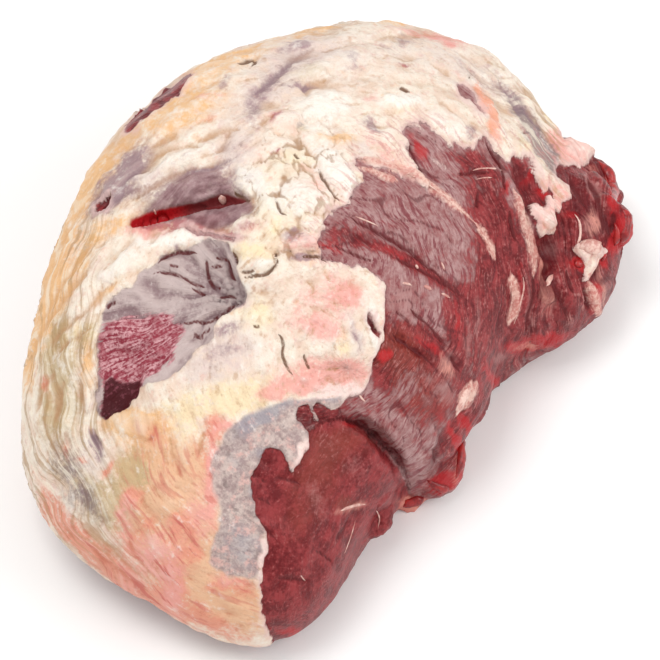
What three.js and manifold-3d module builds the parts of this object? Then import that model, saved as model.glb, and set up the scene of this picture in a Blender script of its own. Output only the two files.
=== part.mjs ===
// A whole raw beef topside: one solid lump of muscle with its fat cover grown on, lying fat side up.
// Millimetres, +Z up. +X runs along the cut towards its ragged end, and the cut rests on z = 0.
// A plain dome is made first. The fat, the muscles and the knife cuts on it are laid out as they
// are seen from one side, in mm right of and above the middle of that view, and are carried along
// the line of sight onto the dome.

import * as THREE from "three";
import { mergeVertices } from "three/addons/utils/BufferGeometryUtils.js";
import Module from "manifold-3d";

// Driving dimensions of the dome. The belly is the level at which it is widest: it lies higher on
// the fat side than on the lean side. The weight of the meat presses the underside flat.
const HEIGHT = 150;
const BELLY_HEIGHT = 46;
const BELLY_TILT = 15;
const PRESSED_FLAT = 10;
const MEAN_REACH = 150;
const SUMMIT = new THREE.Vector2(-5, 42);
const SUMMIT_SHARPNESS = 1.5;

// How squarely each side bulges: 2 is an ellipse
const FAT_SIDE_FULLNESS = 2.35;
const LEAN_SIDE_FULLNESS = 1.75;
const UNDERSIDE_FULLNESS = 3.2;

// Reach of the belly from the middle, every 15 degrees round from +X
const REACH = [
  208, 220, 214, 195, 178, 160, 154, 151, 155, 166, 178, 181,
  174, 175, 163, 110, 90, 88, 88, 87, 90, 123, 180, 193,
];

// How finely the dome and the flaps are divided, and how far the dome's points are drawn upwards
const FINENESS = 20;
const FLAP_FINENESS = 3;
const UPWARD_SHIFT = 0.3;

// The side from which the forms are laid out, and how far away the eye is
const VIEW_AZIMUTH = THREE.MathUtils.degToRad(-54);
const VIEW_ELEVATION = THREE.MathUtils.degToRad(58);
const EYE_DISTANCE = 1500;
const MIDDLE = new THREE.Vector3(0, 0, 66);
const GRAZING = 0.25;

// Swellings and hollows: place as seen, half width along and across, turn in degrees, rise
const SWELLINGS = {
  lowerDome: { at: [-99, -82], spread: [48, 60], turn: 0, rise: 4 },
  pinkPad: { at: [-8, 8], spread: [30, 36], turn: 0, rise: 5 },
  whitePad: { at: [-25, 77], spread: [28, 26], turn: 0, rise: 4 },
  topPad: { at: [10, 128], spread: [60, 26], turn: -4, rise: 3 },
  gashHollow: { at: [-77, 66], spread: [34, 9], turn: 9, rise: -5 },
  windowCorner: { at: [-119, -38], spread: [9, 15], turn: -20, rise: -7 },
  longMuscle: { at: [50, 52], spread: [44, 17], turn: -36, rise: 5 },
  upperMuscle: { at: [80, 80], spread: [20, 30], turn: 30, rise: 3 },
  lowerMuscle: { at: [52, -28], spread: [22, 34], turn: 8, rise: 5 },
  faceBulge: { at: [5, -88], spread: [26, 24], turn: 0, rise: 4 },
  faceTip: { at: [-16, -135], spread: [20, 22], turn: 0, rise: 4 },
  endMuscle: { at: [137, 12], spread: [18, 26], turn: -20, rise: 8 },
  endUpper: { at: [152, 66], spread: [13, 22], turn: 10, rise: 7 },
  endHollow: { at: [124, 44], spread: [9, 9], turn: 0, rise: -10 },
  edgeRidge: { at: [108, 45], spread: [6, 40], turn: 8, rise: 5 },
  edgeValley: { at: [98, 30], spread: [5, 50], turn: 6, rise: -3 },
};

// Regions that lie lower than the fat round them: outline as seen, and how deep they lie
const RECESSES = {
  face: {
    depth: 3,
    outline: [
      [-37, -67], [-29, -65], [-22, -77], [-14, -70], [-11, -55], [8, -51], [25, -56], [38, -75], [44, -92],
      [24, -113], [17, -130], [0, -150], [-16, -168], [-31, -168], [-37, -150], [-35, -116], [-44, -90],
    ],
  },
  leanSide: {
    depth: 3,
    outline: [
      [6, -46], [25, -34], [29, -15], [29, 20], [8, 33], [-5, 42], [2, 64], [16, 76], [12, 90], [36, 98],
      [40, 114], [66, 105], [88, 102], [106, 92], [118, 60], [122, 20], [112, -20], [90, -60], [50, -88],
      [24, -54],
    ],
  },
  window: {
    depth: 3.5,
    outline: [
      [-126, 18], [-105, 26], [-93, 38], [-78, 47], [-62, 48], [-53, 36], [-48, 17], [-68, -6], [-92, -27],
      [-105, -31], [-114, -46], [-124, -51], [-129, -30], [-129, 0],
    ],
  },
};
const RECESS_EDGE = 7;

// How uneven the whole skin is, from broad muscles to small folds
const UNEVENNESS = [
  { size: 62, depth: 3 },
  { size: 31, depth: 1.8 },
  { size: 13, depth: 0.8 },
];

// The thick end is cut ragged: where along the cut that sets in and is full, how large and how deep
const RAGGED_END = [100, 170];
const RAGGED_SIZE = 8;
const RAGGEDNESS = 3.5;

// Knife cuts and the gaps between muscles: path as seen, width and depth half way along
const SLITS = {
  gash: { path: [[-109, 61], [-92, 65], [-72, 68], [-50, 73]], width: 8, depth: 13 },
  crevice: { path: [[3, -47], [14, -50], [24, -56], [32, -66], [40, -80], [46, -94]], width: 12, depth: 30 },
  foldUnderPad: { path: [[-48, 30], [-38, 31], [-28, 41], [-12, 38], [-2, 38]], width: 5, depth: 9 },
  redSeam: { path: [[6, 60], [28, 54], [52, 40], [76, 22]], width: 5, depth: 7 },
  shortSeam: { path: [[30, 0], [42, -8], [60, -22]], width: 5, depth: 7 },
  ridgeSlot: { path: [[103, 96], [110, 84], [118, 70]], width: 7, depth: 12 },
  endSlot: { path: [[122, 64], [129, 52], [134, 36], [146, 28]], width: 6, depth: 13 },
  backStrip: { path: [[-112, 111], [-99, 125], [-84, 137]], width: 6, depth: 6 },
};

const STEPS_PER_POINT = 3;
const LIP = 7;
const TAPER = 0.6;
const THINNEST = 0.02;

// Flaps and scraps of flesh left at the edge by the knife: place as seen, half sizes, turn in
// degrees, and how far each is set back behind the edge
const FLAPS = {
  upperTab: { at: [145, 82], size: [15, 25, 9], turn: 34, back: 8 },
  endPoint: { at: [150, 61], size: [17, 17, 9], turn: -40, back: 7 },
  redSlab: { at: [59, -75], size: [15, 17, 9], turn: -20, back: 6 },
  pinkScrap: { at: [43, -96], size: [11, 9, 8], turn: 20, back: 4 },
  faceTail: { at: [25, -105], size: [9, 11, 7], turn: -24, back: 6 },
};
const FLAP_UNEVENNESS = 0.22;
const FLAP_ROUGHNESS = 13;

const RIGHT = new THREE.Vector3(Math.cos(VIEW_AZIMUTH), Math.sin(VIEW_AZIMUTH), 0);
const BACK = new THREE.Vector3(
  Math.sin(VIEW_AZIMUTH) * Math.cos(VIEW_ELEVATION),
  -Math.cos(VIEW_AZIMUTH) * Math.cos(VIEW_ELEVATION),
  Math.sin(VIEW_ELEVATION),
);
const UP = new THREE.Vector3().crossVectors(BACK, RIGHT);
const EYE = MIDDLE.clone().addScaledVector(BACK, EYE_DISTANCE);

// Where a point is seen, in mm right of and above the middle of the view
function seen(point) {
  const arm = point.clone().sub(MIDDLE);
  const nearer = EYE_DISTANCE / (EYE_DISTANCE - arm.dot(BACK));
  return new THREE.Vector2(arm.dot(RIGHT) * nearer, arm.dot(UP) * nearer);
}

// 0 where a surface turns away from the view, rising to 1 where it faces it
function facing(point, normal) {
  const towards = EYE.clone().sub(point).normalize();
  return THREE.MathUtils.smoothstep(normal.dot(towards), 0, GRAZING);
}

// The belly's outline from above, as a smooth closed curve through its reaches
const bellyCurve = new THREE.CubicInterpolant(
  [-1, ...REACH.keys(), REACH.length, REACH.length + 1],
  [REACH.at(-1), ...REACH, REACH[0], REACH[1]],
  1,
);

function reachAt(angle) {
  const turn = THREE.MathUtils.euclideanModulo(angle / (2 * Math.PI), 1);
  const [reach] = bellyCurve.evaluate(turn * REACH.length);
  return reach;
}

// The plain dome that the muscles and fat are modelled on
function domed(direction) {
  const angle = Math.atan2(direction.y, direction.x);
  const level = Math.hypot(direction.x, direction.y);
  const steepness = Math.abs(direction.z);
  const above = direction.z > 0;
  const leanSide = 0.5 - 0.5 * Math.sin(angle);
  const topFullness = THREE.MathUtils.lerp(FAT_SIDE_FULLNESS, LEAN_SIDE_FULLNESS, leanSide);
  const fullness = above ? topFullness : UNDERSIDE_FULLNESS;
  const rise = above ? HEIGHT - BELLY_HEIGHT : BELLY_HEIGHT + PRESSED_FLAT;
  const reach = THREE.MathUtils.lerp(reachAt(angle), MEAN_REACH, above ? steepness : 0);
  const span = ((level / reach) ** fullness + (steepness / rise) ** fullness) ** (-1 / fullness);
  const point = direction.clone().multiplyScalar(span);
  const lean = Math.max(0, point.z / rise) ** SUMMIT_SHARPNESS;
  point.x += SUMMIT.x * lean;
  point.y += SUMMIT.y * lean;
  point.z += BELLY_HEIGHT - BELLY_TILT * (2 * leanSide - 1) * level ** 2;
  return point;
}

function swelling({ at, spread, turn, rise }, place) {
  const turned = place.clone().sub(new THREE.Vector2(...at));
  turned.rotateAround(new THREE.Vector2(), -THREE.MathUtils.degToRad(turn));
  return rise * Math.exp(-0.5 * ((turned.x / spread[0]) ** 2 + (turned.y / spread[1]) ** 2));
}

// How far a place lies inside a closed outline, in mm, and less than 0 outside it
function insideBy(edge, place) {
  let inside = false;
  let nearest = Infinity;
  edge.forEach((end, k) => {
    const start = edge[(k + edge.length - 1) % edge.length];
    const side = end.clone().sub(start);
    const arm = place.clone().sub(start);
    const share = THREE.MathUtils.clamp(arm.dot(side) / side.lengthSq(), 0, 1);
    nearest = Math.min(nearest, arm.addScaledVector(side, -share).length());
    if (start.y > place.y !== end.y > place.y) {
      const crossing = start.x + ((place.y - start.y) / side.y) * side.x;
      if (place.x < crossing) inside = !inside;
    }
  });
  return inside ? nearest : -nearest;
}

function smoothOutline(outline) {
  const points = outline.map(([x, y]) => new THREE.Vector3(x, y, 0));
  const curve = new THREE.CatmullRomCurve3(points, true, "centripetal");
  return curve.getPoints(outline.length * 4).slice(1).map(({ x, y }) => new THREE.Vector2(x, y));
}

// Waves along one way that are bent by waves along another, so that no two bumps are alike
const WAVES = [
  { along: "x", pitch: 1.9, by: "y", bend: 1.3, bendPitch: 1.3, start: 0.6 },
  { along: "y", pitch: 2.3, by: "z", bend: 1.1, bendPitch: 1.7, start: 2.1 },
  { along: "z", pitch: 2.1, by: "x", bend: 1.2, bendPitch: 1.5, start: 4.0 },
];

// An unevenness between -1 and 1 that is always the same, with bumps of the given size in mm
function uneven(point, size) {
  const place = point.clone().divideScalar(size);
  const sum = WAVES.reduce((total, { along, pitch, by, bend, bendPitch, start }) => {
    const bent = bend * Math.sin(place[by] * bendPitch + start);
    return total + Math.sin(place[along] * pitch + bent);
  }, 0);
  return sum / WAVES.length;
}

function skinOfBall(fineness) {
  const ball = new THREE.IcosahedronGeometry(1, fineness);
  ball.deleteAttribute("normal");
  ball.deleteAttribute("uv");
  return mergeVertices(ball, 1e-4);
}

function reshape(geometry, move) {
  const places = geometry.getAttribute("position");
  const normals = geometry.getAttribute("normal");
  for (let i = 0; i < places.count; i++) {
    const point = new THREE.Vector3().fromBufferAttribute(places, i);
    const normal = normals ? new THREE.Vector3().fromBufferAttribute(normals, i) : null;
    const moved = move(point, normal);
    places.setXYZ(i, moved.x, moved.y, moved.z);
  }
  return geometry;
}

function bodyGeometry() {
  const edges = Object.values(RECESSES).map(({ outline, depth }) => {
    return { edge: smoothOutline(outline), depth };
  });
  const form = reshape(skinOfBall(FINENESS), (direction) => {
    direction.z += UPWARD_SHIFT;
    return domed(direction.normalize());
  });
  form.computeVertexNormals();
  reshape(form, (point, normal) => {
    const place = seen(point);
    const shown = facing(point, normal);
    const ragged = THREE.MathUtils.smoothstep(point.x, ...RAGGED_END);
    let rise = ragged * RAGGEDNESS * uneven(point, RAGGED_SIZE);
    for (const { size, depth } of UNEVENNESS) rise += depth * uneven(point, size);
    for (const shape of Object.values(SWELLINGS)) rise += shown * swelling(shape, place);
    for (const { edge, depth } of edges) {
      rise -= shown * depth * THREE.MathUtils.smoothstep(insideBy(edge, place), -RECESS_EDGE, RECESS_EDGE);
    }
    const moved = point.addScaledVector(normal, rise);
    moved.z = Math.max(moved.z, 0);
    return moved;
  });
  form.deleteAttribute("normal");
  return form;
}

function solidOf(wasm, geometry) {
  return new wasm.Manifold(
    new wasm.Mesh({
      numProp: 3,
      vertProperties: new Float32Array(geometry.getAttribute("position").array),
      triVerts: new Uint32Array(geometry.index.array),
    }),
  );
}

// A point level with the edge of the form nearest to a place, and seen at that place
function edgePoint(form, [x, y]) {
  const corners = form.geometry.getAttribute("position");
  let nearest = null;
  let gap = Infinity;
  for (let i = 0; i < corners.count; i++) {
    const corner = new THREE.Vector3().fromBufferAttribute(corners, i);
    const { x: right, y: up } = seen(corner);
    const apart = Math.hypot(right - x, up - y);
    if (apart < gap) [nearest, gap] = [corner, apart];
  }
  const place = seen(nearest);
  return nearest.addScaledVector(RIGHT, x - place.x).addScaledVector(UP, y - place.y);
}

// The point of the form that is seen at a place, or one level with its edge where nothing is seen
function landing(form, [x, y]) {
  const aim = MIDDLE.clone().addScaledVector(RIGHT, x).addScaledVector(UP, y);
  const ray = new THREE.Raycaster(EYE, aim.clone().sub(EYE).normalize());
  const [hit] = ray.intersectObject(form);
  return hit ? hit.point : edgePoint(form, [x, y]);
}

// A blade with three-cornered sections that thins out towards both ends
function bladeGeometry(form, { path, width, depth }) {
  const course = new THREE.CatmullRomCurve3(path.map(([x, y]) => new THREE.Vector3(x, y, 0)));
  const steps = path.length * STEPS_PER_POINT;
  const sections = [];
  for (let k = 0; k <= steps; k++) {
    const share = k / steps;
    const at = course.getPoint(share);
    const along = course.getTangent(share);
    const point = landing(form, [at.x, at.y]);
    const across = RIGHT.clone().multiplyScalar(-along.y).addScaledVector(UP, along.x).normalize();
    const fill = Math.max(THINNEST, Math.sin(Math.PI * share) ** TAPER);
    const lip = point.clone().addScaledVector(BACK, LIP);
    sections.push([
      lip.clone().addScaledVector(across, (width / 2) * fill),
      lip.clone().addScaledVector(across, (-width / 2) * fill),
      point.clone().addScaledVector(BACK, -depth * fill),
    ]);
  }
  const corners = sections.flat().flatMap((corner) => corner.toArray());
  const faces = [0, 2, 1, 3 * steps, 3 * steps + 1, 3 * steps + 2];
  for (let k = 0; k < steps; k++) {
    for (let side = 0; side < 3; side++) {
      const [a, b] = [3 * k + side, 3 * k + ((side + 1) % 3)];
      faces.push(a, b, b + 3, a, b + 3, a + 3);
    }
  }
  const blade = new THREE.BufferGeometry();
  blade.setAttribute("position", new THREE.Float32BufferAttribute(corners, 3));
  blade.setIndex(faces);
  return blade;
}

function flapGeometry(form, { at, size, turn, back }) {
  const middle = edgePoint(form, at).addScaledVector(BACK, -back);
  const frame = new THREE.Matrix4().makeBasis(RIGHT, UP, BACK);
  frame.multiply(new THREE.Matrix4().makeRotationZ(THREE.MathUtils.degToRad(turn)));
  return reshape(skinOfBall(FLAP_FINENESS), (direction) => {
    const placed = direction.clone().multiply(new THREE.Vector3(...size)).applyMatrix4(frame);
    const swell = FLAP_UNEVENNESS * uneven(placed.clone().add(middle), FLAP_ROUGHNESS);
    placed.multiplyScalar(1 + swell).add(middle);
    placed.z = Math.max(placed.z, 0);
    return placed;
  });
}

// The body with its flaps joined on and its cuts made, without any loose scrap that a cut leaves
function carved(wasm) {
  const form = new THREE.Mesh(bodyGeometry());
  let solid = solidOf(wasm, form.geometry);
  for (const flap of Object.values(FLAPS)) solid = solid.add(solidOf(wasm, flapGeometry(form, flap)));
  for (const slit of Object.values(SLITS)) solid = solid.subtract(solidOf(wasm, bladeGeometry(form, slit)));
  const [largest] = solid.decompose().sort((one, other) => other.volume() - one.volume());
  return largest;
}

// The solid as a geometry, moved level so that the middle of its base is the origin
function centred(manifold) {
  const { vertProperties, triVerts } = manifold.getMesh();
  const geometry = new THREE.BufferGeometry();
  geometry.setAttribute("position", new THREE.BufferAttribute(vertProperties, 3));
  geometry.setIndex(new THREE.BufferAttribute(triVerts, 1));
  geometry.computeBoundingBox();
  const middle = geometry.boundingBox.getCenter(new THREE.Vector3());
  geometry.translate(-middle.x, -middle.y, 0);
  geometry.computeVertexNormals();
  return geometry;
}

const wasm = await Module();
wasm.setup();

const meat = new THREE.MeshStandardMaterial({ color: "#b5776b", roughness: 0.45, metalness: 0 });
const topside = new THREE.Mesh(centred(carved(wasm)), meat);
topside.name = "topside";

const cut = new THREE.Group();
cut.add(topside);
export default cut;
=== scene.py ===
import math

import bmesh
import bpy
import numpy as np
from mathutils import Matrix, Vector, noise
from mathutils.bvhtree import BVHTree


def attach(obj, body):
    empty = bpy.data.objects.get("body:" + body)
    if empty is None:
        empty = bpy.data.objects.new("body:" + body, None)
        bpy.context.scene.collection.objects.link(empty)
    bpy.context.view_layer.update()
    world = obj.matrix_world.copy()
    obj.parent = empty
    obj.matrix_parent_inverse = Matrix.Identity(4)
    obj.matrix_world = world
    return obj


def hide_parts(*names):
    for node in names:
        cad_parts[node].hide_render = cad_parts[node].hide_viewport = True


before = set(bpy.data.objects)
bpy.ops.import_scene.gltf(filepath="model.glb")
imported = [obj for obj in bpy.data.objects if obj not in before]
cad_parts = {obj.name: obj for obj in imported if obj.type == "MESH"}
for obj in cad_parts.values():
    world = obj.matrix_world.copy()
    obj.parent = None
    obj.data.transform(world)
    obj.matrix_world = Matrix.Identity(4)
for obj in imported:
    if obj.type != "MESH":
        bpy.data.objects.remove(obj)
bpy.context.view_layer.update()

# A whole raw beef topside, fat side up. The body is the cut's own form at a finer grain. Fat cover,
# silverskin and lean are laid out on it as they are seen from one side, in pixels of a 660 pixel
# frame, and the layout runs on past the outline for the sides that are hidden from there.

# The view in which the layout is drawn
MM_PER_PIXEL = 0.55
FRAME_PIXELS = 660
VIEW_AZIMUTH = math.radians(-54)
VIEW_ELEVATION = math.radians(58)
EYE_DISTANCE = 1500.0
VIEW_MIDDLE = np.array([-18.4, -27.0, 66.0])
METRES = 0.001

RIGHT = np.array([math.cos(VIEW_AZIMUTH), math.sin(VIEW_AZIMUTH), 0])
BACK = np.array([
    math.sin(VIEW_AZIMUTH) * math.cos(VIEW_ELEVATION),
    -math.cos(VIEW_AZIMUTH) * math.cos(VIEW_ELEVATION),
    math.sin(VIEW_ELEVATION),
])
UP = np.cross(BACK, RIGHT)

# Where lean shows: everything to the right of this line, which runs on past the outline
LEAN_OUTLINE = [
    (290, 820), (278, 670), (268, 628), (262, 612), (263, 565), (267, 546), (269, 535), (259, 522),
    (256, 510), (249, 490), (251, 476), (260, 461), (261, 449), (270, 447), (279, 451), (287, 461),
    (291, 474), (299, 463), (305, 451), (309, 439), (312, 431), (303, 427), (297, 418), (296, 410),
    (300, 404), (306, 404), (311, 410), (315, 418), (319, 424), (317, 415), (313, 407), (318, 402),
    (325, 405), (331, 411), (336, 410), (344, 404), (356, 394), (366, 392), (370, 376), (373, 361),
    (383, 341), (384, 320), (385, 300), (385, 285), (373, 273), (344, 263), (332, 262), (325, 255),
    (322, 246), (318, 238), (324, 226), (328, 216), (330, 209), (342, 206), (354, 200), (358, 190),
    (364, 178), (357, 171), (348, 164), (356, 160), (372, 164), (390, 170), (408, 179), (426, 187),
    (433, 189), (424, 178), (412, 163), (404, 150), (401, 140), (401, 130), (409, 124), (422, 126),
    (436, 134), (454, 142), (467, 145), (474, 152), (478, 146), (479, 134), (486, 136), (493, 141),
    (498, 150), (503, 162), (508, 158), (514, 154), (522, 156), (530, 163), (536, 178), (538, 186),
    (546, 195), (552, 190), (556, 178), (560, 165), (568, 168), (580, 168), (588, 166), (592, 157),
    (596, 146), (680, 70), (900, 0), (1000, 820),
]
LEAN_ISLANDS = {
    "back_strip": [
        (120, 134), (138, 108), (160, 86), (190, 70), (194, 78), (176, 97), (153, 113), (134, 128),
    ],
    "purple_dash": [
        (456, 87), (464, 86), (473, 95), (480, 106), (485, 118), (476, 109), (466, 99), (458, 94),
    ],
    "gash_foot": [(182, 228), (205, 232), (228, 236), (240, 241), (228, 242), (204, 237), (186, 232)],
    "left_nick": [(92, 213), (98, 202), (112, 194), (107, 207)],
    "pad_slit": [(366, 312), (371, 315), (377, 325), (380, 338), (374, 334), (369, 324)],
    "end_spot": [(560, 132), (566, 130), (569, 137), (563, 139)],
}
FAT_ISLANDS = {
    "muscle_fleck": [(432, 145), (438, 147), (444, 156), (450, 167), (447, 172), (440, 166), (434, 156)],
    "cream_patch": [
        (532, 200), (541, 202), (549, 197), (551, 184), (556, 175), (568, 186), (572, 193), (564, 203),
        (558, 213), (557, 226), (556, 236), (548, 236), (541, 231), (535, 219), (531, 209),
    ],
    "knob": [
        (571, 248), (580, 243), (592, 241), (602, 247), (603, 254), (596, 262), (590, 272), (585, 282),
        (582, 279), (587, 266), (583, 258), (576, 255),
    ],
}
WINDOW_OUTLINE = [
    (101, 316), (106, 304), (118, 294), (134, 284), (140, 273), (155, 263), (163, 253), (179, 249),
    (200, 246), (204, 240), (224, 242), (232, 250), (238, 267), (242, 283), (249, 296), (242, 303),
    (224, 314), (216, 323), (214, 341), (194, 349), (183, 367), (163, 382), (142, 384), (134, 402),
    (122, 412), (108, 423), (99, 414), (94, 400), (98, 380), (97, 347),
]
WINDOW_MUSCLE = [
    (102, 324), (116, 318), (130, 316), (153, 314), (175, 312), (167, 322), (189, 327), (177, 341),
    (175, 357), (163, 370), (142, 380), (134, 400), (122, 411), (108, 422), (101, 412), (106, 394),
    (98, 367), (98, 347),
]
WINDOW_CORNER = [
    (107, 375), (125, 384), (142, 380), (134, 402), (122, 412), (108, 423), (100, 412),
]
GASH_FILM = [
    (136, 214), (151, 203), (167, 184), (194, 173), (217, 171), (232, 186), (247, 197), (255, 209),
    (236, 224), (216, 232), (193, 224), (160, 222),
]
GASH_OUTLINE = [
    (129, 225), (132, 218), (145, 213), (160, 209), (190, 204), (214, 198), (224, 193), (235, 197),
    (247, 199), (240, 204), (226, 206), (216, 208), (197, 212), (175, 218), (158, 222), (144, 226),
    (133, 228),
]
SILVERSKIN_OUTLINE = [
    (222, 440), (234, 424), (250, 413), (283, 403), (312, 393), (340, 388), (352, 394), (340, 408),
    (325, 412), (318, 432), (300, 470), (290, 476), (270, 470), (262, 490), (270, 540), (264, 582),
    (250, 578), (225, 575), (210, 562), (212, 545), (218, 530), (222, 510), (216, 495), (210, 480),
    (212, 460),
]
FACE_OUTLINE = [
    (200, 640), (250, 540), (240, 480), (256, 446), (311, 430), (334, 417), (361, 423), (386, 448),
    (406, 478), (412, 500), (520, 640), (520, 900), (200, 900),
]

# Cracks and gaps, with painted shade at the bottom: half width and depth in mm, then the paths
FURROWS = {
    "window_knot": (1.7, 2.6, [
        [(154, 268), (163, 257), (175, 251), (190, 251), (202, 256)], [(165, 266), (174, 264), (182, 267)],
        [(145, 274), (163, 271), (181, 275), (199, 284), (213, 288)],
        [(205, 252), (206, 262), (207, 274), (213, 285), (226, 286)], [(210, 256), (219, 257), (228, 256)],
        [(208, 265), (218, 266), (226, 264)], [(222, 252), (227, 262), (229, 274), (240, 286)],
        [(230, 246), (235, 258), (239, 270)],
    ]),
    "window_creases": (1.6, 1.8, [
        [(243, 299), (231, 307), (220, 312), (206, 321)], [(213, 296), (227, 295), (244, 298)],
        [(172, 322), (191, 322), (212, 321), (224, 313)], [(190, 327), (199, 337), (206, 341)],
        [(186, 340), (204, 332), (216, 322)], [(130, 311), (138, 317)],
        [(104, 313), (110, 303), (121, 300)], [(188, 284), (198, 292), (212, 293)],
    ]),
    "left_nick": (1.6, 2.0, [[(97, 212), (106, 201), (116, 190)]]),
    "under_the_puff": (1.8, 3.6, [[(231, 188), (237, 195), (245, 200), (253, 197)]]),
    "puff_cracks": (1.5, 2.2, [
        [(315, 166), (321, 176), (325, 184), (333, 194), (343, 205)],
        [(273, 195), (277, 204), (282, 212), (290, 218)], [(294, 150), (296, 157), (301, 162)],
        [(232, 68), (244, 65), (253, 59), (256, 63), (246, 73)], [(396, 85), (403, 89), (412, 95)],
        [(463, 77), (472, 81)], [(522, 128), (527, 138)],
    ]),
    "fold_hole": (2.6, 4.5, [[(272, 254), (281, 257)]]),
    "above_the_pad": (1.6, 2.6, [
        [(236, 276), (250, 277), (266, 275), (276, 266), (278, 257)],
        [(295, 259), (308, 256), (321, 257), (331, 266)], [(234, 270), (248, 272), (262, 270)],
    ]),
    "pad_cracks": (1.4, 1.3, [
        [(275, 328), (283, 339), (282, 356), (288, 372), (297, 377)], [(300, 348), (306, 362), (312, 379)],
        [(249, 324), (256, 328), (263, 325)], [(366, 312), (374, 324), (379, 338)],
    ]),
    "upper_red_seam": (1.7, 2.2, [
        [(333, 211), (355, 219), (378, 230), (402, 244), (425, 262), (448, 281), (469, 298)],
    ]),
    "lower_red_seam": (1.6, 1.6, [
        [(330, 240), (345, 250), (362, 259), (385, 262)],
        [(380, 251), (400, 261), (417, 268), (437, 279), (456, 291), (467, 299)],
        [(345, 228), (362, 238), (380, 250)],
    ]),
    "upper_muscle_gaps": (1.5, 2.0, [
        [(403, 134), (412, 150), (420, 166), (425, 180)],
        [(478, 132), (493, 148), (502, 166), (505, 185), (506, 204)],
        [(452, 176), (466, 172), (482, 171), (500, 175)], [(478, 185), (479, 200), (478, 214)],
    ]),
    "short_gash": (1.7, 2.6, [[(386, 328), (401, 341), (422, 354), (438, 371)]]),
    "low_gaps": (1.6, 1.8, [
        [(404, 300), (420, 316), (440, 336), (452, 352)], [(388, 306), (404, 316), (414, 330)],
        [(450, 350), (456, 362), (462, 378)], [(434, 442), (436, 456), (433, 468)],
    ]),
    "crevice": (2.0, 2.2, [
        [(336, 418), (346, 421), (361, 423), (374, 433), (388, 449), (400, 463), (408, 478), (413, 490)],
    ]),
    "edge_shadow": (1.7, 2.4, [
        [(519, 182), (525, 205), (530, 228), (535, 256), (537, 286), (530, 316), (522, 340)],
        [(508, 200), (512, 226), (517, 250)],
    ]),
    "end_gaps": (1.8, 2.4, [
        [(541, 238), (548, 256), (549, 276), (556, 290)],
        [(582, 172), (592, 188), (600, 204), (604, 224), (602, 242)],
        [(566, 170), (574, 184), (584, 200), (590, 212)], [(548, 275), (556, 290), (562, 308), (572, 326)],
        [(584, 282), (588, 298), (588, 316)], [(612, 206), (613, 222), (610, 240)],
        [(570, 262), (566, 280), (574, 300)],
    ]),
    "face_creases": (1.4, 1.2, [
        [(256, 478), (264, 482), (270, 478)], [(252, 498), (263, 500), (275, 510)],
        [(256, 516), (266, 528), (283, 549)], [(267, 479), (286, 477), (311, 490)],
        [(311, 547), (325, 556), (340, 568)], [(263, 578), (294, 579), (320, 584)],
        [(352, 510), (344, 530), (330, 548)],
    ]),
}

# Soft folds of the fat, where it dips without a crack: half width and depth in mm, then the paths
CREASES = {
    "left_side": (1.9, 1.5, [
        [(27, 384), (33, 355), (42, 331), (57, 307), (79, 280), (95, 262), (112, 247)],
        [(38, 376), (47, 350), (58, 335), (74, 321), (92, 305), (108, 288), (126, 278), (146, 270)],
        [(52, 371), (58, 354), (70, 340), (84, 333), (99, 323)],
        [(32, 340), (47, 313), (60, 289), (76, 266), (93, 246), (110, 227)],
        [(52, 262), (64, 240), (77, 220), (90, 205), (103, 192), (118, 178)],
        [(90, 224), (106, 207), (122, 196), (138, 189), (156, 184)],
        [(35, 424), (41, 398), (51, 378), (62, 364)],
        [(86, 424), (81, 400), (82, 374), (90, 350), (95, 334)],
        [(56, 440), (55, 410), (62, 385), (70, 366)], [(88, 256), (104, 244), (122, 237)],
    ]),
    "upper_left": (2.4, 1.9, [
        [(120, 210), (136, 197), (158, 184), (177, 175), (202, 169), (226, 162), (247, 157)],
        [(121, 186), (131, 177), (146, 165), (163, 152), (182, 147), (199, 147), (211, 154)],
        [(248, 103), (260, 90), (276, 77), (292, 62), (309, 51), (331, 44)],
        [(236, 124), (229, 137), (222, 150), (212, 158)], [(254, 128), (266, 121), (279, 116)],
        [(295, 87), (306, 87), (320, 81), (334, 78)], [(190, 127), (206, 122), (218, 117)],
        [(192, 148), (208, 136), (228, 130), (250, 130)], [(145, 150), (165, 138), (186, 130)],
    ]),
    "top": (1.8, 1.1, [
        [(362, 46), (385, 38), (410, 36), (440, 42)], [(368, 62), (388, 57), (408, 62), (424, 60)],
        [(365, 118), (374, 127), (388, 130), (400, 126)], [(330, 110), (350, 104), (372, 107)],
        [(424, 64), (440, 70), (456, 80)], [(505, 84), (517, 97), (527, 112), (536, 128), (542, 150)],
        [(516, 82), (530, 97), (541, 113), (549, 134)], [(490, 74), (506, 92), (516, 110), (522, 124)],
        [(430, 96), (446, 108), (460, 118)],
    ]),
    "pad_wrinkles": (1.3, 0.9, [
        [(300, 276), (310, 282), (314, 294), (306, 302)], [(318, 268), (328, 276), (332, 288)],
        [(330, 280), (342, 288), (352, 290)], [(302, 304), (318, 308), (334, 316), (348, 324)],
        [(322, 300), (338, 304), (352, 312)], [(296, 318), (310, 324), (322, 334)],
        [(343, 316), (352, 332), (361, 352), (364, 368)], [(356, 306), (364, 324), (371, 344), (371, 360)],
        [(316, 366), (332, 370), (350, 364)], [(250, 296), (262, 292), (280, 294)],
    ]),
    "low_side": (2.2, 1.0, [
        [(58, 498), (92, 534), (130, 566), (168, 596)], [(70, 524), (100, 556), (134, 582), (176, 612)],
        [(152, 404), (160, 424), (150, 440), (134, 446)], [(166, 424), (172, 446), (176, 470), (188, 484)],
        [(205, 420), (202, 444), (196, 466)], [(98, 428), (96, 446), (102, 460)],
        [(122, 530), (138, 556), (150, 574)],
    ]),
}

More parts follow.
